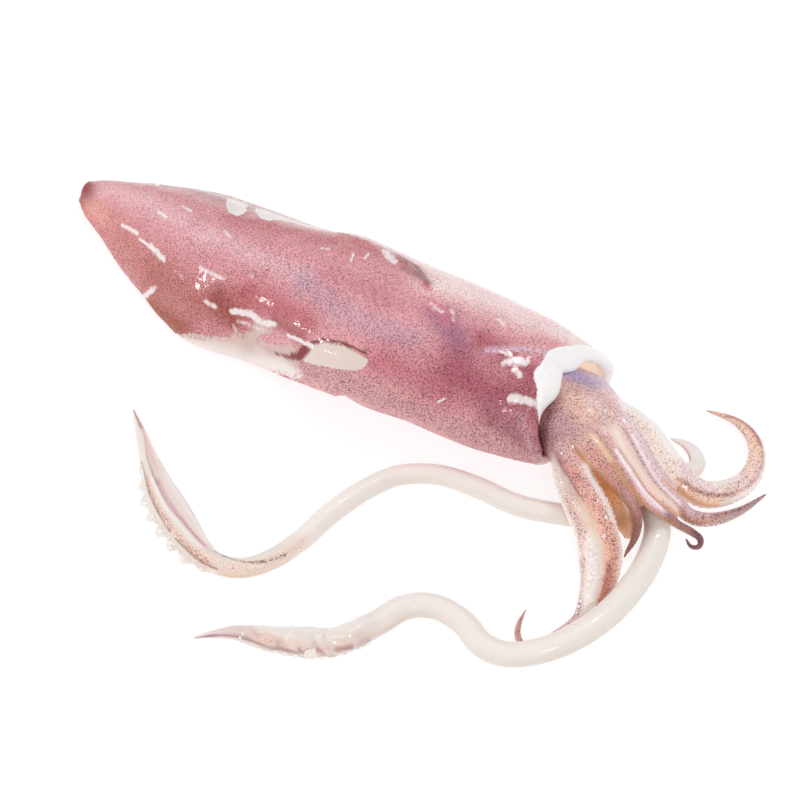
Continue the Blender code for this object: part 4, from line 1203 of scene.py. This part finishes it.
def row_of_cups(limb, line, first, last, turn_first, turn_last, share, uneven):
    """Rows (x, y, z, facing, size) of cups in two alternating lines on the limb's surface."""
    surface = BVHTree.FromObject(limb, bpy.context.evaluated_depsgraph_get())
    ahead, up, right = limb_frame(line)
    far = far_along(line) * 1000
    found, at, side = [], first, 1
    while at < min(last, far[-1]):
        row = int(np.searchsorted(far, at))
        draw = FIRST_DRAW + 3 * len(found)
        wide, aside, apart = RANDOM[draw : draw + 3] - 0.5
        size = share * line[row, 3] * 1000 * (1 + uneven * wide)
        turn = np.interp(at, (first, last), (turn_first, turn_last)) + (side + 3 * uneven * aside) * ROW_ANGLE
        turn = math.radians(turn)
        out = Vector(up[row] * math.cos(turn) + right[row] * math.sin(turn))
        place = surface.ray_cast(Vector(line[row, :3]), out, SKIN_WITHIN)[0]
        if place and size > LEAST_CUP:
            found.append((*(place - out * CUP_SUNK * size / 1000), *out, size))
        at += max(CUP_GAP * size * (1 + uneven * apart), LEAST_GAP)
        side = -side
    return found


def cups(name, rows, material):
    """The suckers at these rows, as one plain mesh."""
    rows = np.array(rows, np.float32)
    data = bpy.data.meshes.new(name)
    data.from_pydata(rows[:, :3].tolist(), [], [])
    data.attributes.new("facing", "FLOAT_VECTOR", "POINT").data.foreach_set("vector", rows[:, 3:6].ravel())
    data.attributes.new("size", "FLOAT", "POINT").data.foreach_set("value", rows[:, 6].copy())
    points = placed("points", data)
    made = points.modifiers.new("suckers", "NODES")
    made.node_group = SUCKERS
    values = {"Cup Width": CUP_WIDTH, "Cup Depth": CUP_DEPTH, "Rim Width": RIM_WIDTH, "Material": material}
    for item in SUCKERS.interface.items_tree:
        if item.in_out == "INPUT" and item.name in values:
            made[item.identifier] = values[item.name]
    return plain_copy(points, name)


SUCKERS = sucker_tree()
cup_flesh = wet_flesh("sucker flesh", CUP_FINISH)[0]
rows = []
for name, *row in ARM_SUCKERS:
    rows += row_of_cups(arms, lines[name], *row)
arm_cups = cups("arm_suckers", rows, cup_flesh)
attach(arm_cups, "root")
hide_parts("head_and_arms")

# The tentacles. Two long, slack, translucent cords of flesh that end in clubs: the club's inner side
# carries the suckers and its back a keel, and the right one also has a thin web and a fringe.
TENTACLE_ROUTES = {
    "right": (
        (221.5, -12.8, 8.5, 3.3), (226.5, -15, 5.6, 3.4), (231.3, -18, 3.6, 3.5), (227.8, -24, 3.4, 3.5),
        (216.5, -28.8, 3.3, 3.5), (200.2, -34.2, 3.3, 3.6), (186, -35, 3.3, 3.6), (172.3, -37.2, 3.2, 3.4),
        (161, -44, 3.2, 3.4), (154.4, -54.5, 3.3, 3.5), (149.5, -68, 3.4, 3.6), (146.7, -81, 3.3, 3.5),
        (142.3, -91.6, 3.1, 3.3), (135.5, -99, 3.1, 3.2), (124.3, -101.3, 3.2, 3.4), (109.5, -96.6, 3.6, 3.8),
        (98.5, -90.6, 3.3, 3.5), (89, -82.4, 2.6, 2.7), (78.5, -73, 1.6, 1.7), (70.5, -66.4, 0.8, 0.5),
    ),
    "left": (
        (224, -5.5, 11.5, 3.4), (232.3, -9.5, 9.0, 3.9), (239.5, -16.6, 5.6, 4.2), (243.3, -24.3, 4.3, 4.3),
        (244.5, -38.2, 4.4, 4.3), (241.8, -56.8, 6.4, 4.2), (234.3, -72.1, 6.2, 4.0),
        (223.9, -81.3, 4.3, 3.9), (214.5, -83.4, 3.9, 4.0), (204.6, -79.7, 3.9, 4.0), (195, -79.5, 3.8, 3.9),
        (187.2, -84.5, 3.8, 3.9),
        (182.4, -94, 3.8, 3.9), (176, -104, 4.0, 4.1), (167.4, -110.2, 4.1, 4.2), (157.4, -114.3, 3.5, 3.6),
        (148.3, -117, 2.3, 2.4), (141.5, -120.8, 1.3, 1.3), (136.5, -125, 0.8, 0.4),
    ),
}
TENTACLE_COLOUR = (233, 225, 219)
# Fields along the tentacles, as on the arms.
TENTACLE_FIELDS = (
    # Tan at the root, deep among the arms: painted shade, with the warm light the arms throw on it painted
    # in.
    ("right", ((0, -60), (12, -60)), 9.0, 0.9, (214, 182, 158), 0.0),
    ("right", ((60, 60), (100, 60)), 6.0, 0.5, (226, 210, 196), 0.0),
    # Paler along the top and darker low on one side: painted light and painted shade.
    ("right", ((20, 0), (130, 0)), 4.0, 0.7, (246, 240, 236), 0.0),
    ("right", ((20, -105), (130, -105)), 2.2, 0.5, (228, 214, 202), 0.0),
    # Near-white on the side towards the mantle: painted light that offsets the pink light the mantle throws
    # there.
    ("right", ((20, 84), (130, 84)), 3.0, 0.7, (250, 252, 250), 0.0),
    ("right", ((132, -42), (150, -34), (166, -30)), 3.0, 0.9, (242, 222, 210), 1.0),
    # Tan at the club's lower outer edge: painted shade.
    ("right", ((138, -104), (146, -96), (156, -84)), 1.6, 0.8, (228, 196, 168), 0.1),
    ("right", ((162, -38), (176, -34), (198, -30)), 1.5, 0.9, (238, 206, 190), 1.25),
    ("right", ((138, -42), (145, -20), (149, 0), (152, 16), (158, 42), (162, 50)), 0.5, 0.9,
     (226, 206, 196), 1.7),
    ("right", ((158, -52), (168, -47), (174, -52)), 0.35, 0.8, (146, 92, 84), 0.9),
    ("right", ((177, -52), (186, -43), (198, -41), (202, -46), (206, -54)), 0.35, 0.8, (156, 118, 116), 1.1),
    # White along the club's keel: a painted highlight.
    ("right", ((166, 16), (180, 6), (198, 2)), 0.8, 0.9, (248, 244, 240), 0.0),
    ("right", ((166, 44), (176, 38), (186, 32), (196, 32)), 1.2, 0.8, (232, 192, 196), 1.1),
    ("right", ((166, 42), (176, 32), (184, 18), (194, 16)), 0.28, 0.6, (180, 134, 140), 1.1),
    ("right", ((194, 16), (201, 5), (206, 0), (211, 10), (217, 34), (222, 18), (229, 4)), 0.34, 0.85,
     (146, 108, 114), 0.5),
    ("right", ((202, 40), (210, 40), (219, 50)), 2.6, 0.85, (238, 210, 205), 0.2),
    ("right", ((168, 88), (200, 90)), 1.6, 0.8, (244, 232, 228), 0.3),
    ("right", ((221, 20), (229, 0)), 1.6, 0.8, (170, 138, 146), 0.3),
    # Paler along the top and darker low on both sides: painted light and painted shade.
    ("left", ((10, 0), (140, 0)), 4.0, 0.7, (246, 240, 236), 0.0),
    ("left", ((10, -105), (140, -105)), 2.5, 0.6, (220, 204, 190), 0.0),
    ("left", ((10, 105), (140, 105)), 2.5, 0.6, (220, 204, 190), 0.0),
    ("left", ((135, -80), (150, -70)), 1.0, 0.5, (222, 196, 176), 0.3),
    ("left", ((150, -46), (178, -42)), 3.0, 0.8, (232, 208, 196), 0.0),
    ("left", ((150, 40), (180, 40)), 4.0, 0.7, (246, 242, 240), 0.0),
    ("left", ((148, -70), (153, -72)), 0.9, 0.7, (210, 182, 190), 0.3),
    ("left", ((153.5, -64), (157, -62)), 0.8, 0.8, (176, 124, 114), 0.3),
    ("left", ((160.4, -70), (161.6, -52)), 0.5, 0.75, (184, 124, 114), 0.6),
    ("left", ((166.5, -62), (167, -50)), 0.45, 0.7, (184, 124, 114), 0.6),
    ("left", ((171, -50), (176, -34), (182, -14), (185, -8)), 1.7, 0.7, (228, 196, 184), 1.25),
    ("left", ((182, -50), (194, -44)), 1.6, 0.7, (206, 168, 172), 0.3),
    ("left", ((164, -68), (180, -62), (190, -52), (197, -42)), 0.55, 0.8, (168, 126, 124), 0.3),
    ("left", ((184, 10), (196, 0)), 2.4, 0.7, (224, 200, 202), 0.2),
    ("left", ((195, -52), (201, -40)), 1.5, 0.85, (156, 132, 144), 0.1),
)
# Rows of suckers on the clubs, as on the arms.
TENTACLE_SUCKERS = {
    "right": ((162, 206, -112, -112, 0.42, 0.8),),
    "left": (
        (148, 186, -116, -114, 0.50, 0.7), (163.5, 164.5, -80, -80, 0.95, 0.0),
        (184.5, 185.5, -42, -42, 0.5, 0.0),
    ),
}
CLUB_LUMPS = {"right": 0.15, "left": 0.45}  # how high the club's soft lumps stand
# Thick folds over the club: the limb, the line in millimetres along it and degrees round it, how far
# they reach and how high they stand.
CLUB_FOLDS = (
    ("left", ((153.5, -46), (158, -26)), 2.2, 1.2), ("left", ((160.5, -60), (161.5, -6)), 1.1, 1.1),
    ("left", ((165, -46), (169.5, -20)), 2.2, 1.2), ("left", ((175, -44), (177, -30)), 1.5, 0.8),
    ("left", ((181, -30), (183, -4)), 1.2, 0.5),
)
# The club: where along the tentacle, as shares of its length, it begins and is whole, and its soft
# lumps begin, are whole, thin out and end. Its web and its fringe rise and fall likewise.
CLUB_START, LUMPS_RISE, LUMPS_FALL = (0.62, 0.75), (0.72, 0.78), (0.90, 0.97)
WEB_RISE, WEB_FALL, FRINGE_RISE, FRINGE_FALL = (0.66, 0.82), (0.82, 0.97), (0.69, 0.74), (0.84, 0.92)
CLUB_WEB = {"right": 1.2, "left": 0.0}  # how far the web and the fringe stand out, per radius
WEB_TURN, WEB_WIDTH, WEB_REACH = 97, 9, 0.8  # degrees round the tentacle, degrees wide, and how far out
FRINGE_REACH, FRINGE_WAVE, FRINGE_RATE = 0.36, 0.24, 240  # how far out, and how deep and fine it waves
CLUB_KEEL, CLUB_FLAT = (0.16, 24), 0.10  # the keel's height and degrees, and how flat the club is
TENTACLE_SIDES, TENTACLE_SPACING = 48, 0.0005
TENTACLE_DOTS = (0.00047, 0.34, 0.08, 0.26)  # as the large dots on the mantle
TENTACLE_DARK = (0.34, 0.18, 0.20)
TENTACLE_FINISH = {
    "Subsurface Weight": 0.8, "Subsurface Scale": 0.003, "Subsurface Radius": (1.0, 0.92, 0.86),
    "Roughness": 0.35,
}
TENTACLE_FILM = ((0.006, 0.0003),)


def tentacle_shape(web):
    """A tentacle's outline: round, and flatter on its club, with a keel, a thin web and a fringe."""
    def shape(turn, share):
        thin = WEB_REACH * step(share, *WEB_RISE) * fade(share, *WEB_FALL)
        thin = thin * bump_at(turn, WEB_TURN, WEB_WIDTH)
        fringe = step(share, *FRINGE_RISE) * fade(share, *FRINGE_FALL) * bump_at(turn, -WEB_TURN, WEB_WIDTH)
        fringe *= FRINGE_REACH + FRINGE_WAVE * np.cos(FRINGE_RATE * share)
        keel = CLUB_KEEL[0] * bump_at(turn, 0, CLUB_KEEL[1]) + CLUB_FLAT * np.cos(2 * (turn - math.pi / 2))
        return 1 + step(share, *CLUB_START) * keel + web * (thin + fringe)
    return shape


tentacle_flesh, shader, place = wet_flesh("tentacle flesh", TENTACLE_FINISH)
spotted = painted(tentacle_flesh, "spotted", "Fac")
dots = spots(tentacle_flesh, place, *TENTACLE_DOTS, spotted)
dots = worked_out(tentacle_flesh, "MULTIPLY", dots, spotted, use_clamp=True)
flesh = painted(tentacle_flesh, "skin colour")
surface = mixed(tentacle_flesh, dots, flesh, shaded(tentacle_flesh, flesh, TENTACLE_DARK))
feed(tentacle_flesh, shader, "Base Color", surface)
bumpy(tentacle_flesh, shader, place, "Coat Normal", TENTACLE_FILM)
for name, route in TENTACLE_ROUTES.items():
    line = middle_line(route, TENTACLE_SPACING)
    rings = limb_rings(line, tentacle_shape(CLUB_WEB[name]), TENTACLE_SIDES)
    piece = ring_mesh(f"tentacle_{name}_flesh", rings)
    far = far_along(line) * 1000
    far = np.append(np.repeat(far, TENTACLE_SIDES), [far[0], far[-1]])
    degrees = np.append(np.tile(np.arange(TENTACLE_SIDES) * 360 / TENTACLE_SIDES, len(line)), [0, 0])
    flesh = np.tile(tone(*TENTACLE_COLOUR), (len(far), 1))
    flesh, dotty = paint_limb(TENTACLE_FIELDS, name, far, degrees, flesh, np.zeros(len(far)))
    attribute(piece, "skin colour", flesh)
    attribute(piece, "spotted", dotty)
    club = step(far / far[-1], *LUMPS_RISE) * fade(far / far[-1], *LUMPS_FALL)
    places = read(piece, piece.data.vertices, "co", 3)
    height = CLUB_LUMPS[name] * club * lumps(places * 1000, 3.2, 12)
    around = np.stack([far, ((degrees + 180) % 360 - 180) / DEGREES_PER_MM], 1)
    for limb, fold, reach, rise in CLUB_FOLDS:
        if limb == name:
            fold = [(mm, turn / DEGREES_PER_MM) for mm, turn in fold]
            height += rise * hump(to_line(around, fold), 0, reach, power=4)
    swell(piece, height * step(places[:, 2], 0.001, 0.004) / 1000)
    piece.data.materials.append(tentacle_flesh)
    rows = []
    for row in TENTACLE_SUCKERS[name]:
        rows += row_of_cups(piece, line, *row)
    club_cups = cups(f"tentacle_{name}_suckers", rows, cup_flesh)
    for made in (piece, club_cups):
        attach(made, "root")
        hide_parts(f"tentacle_{name}")
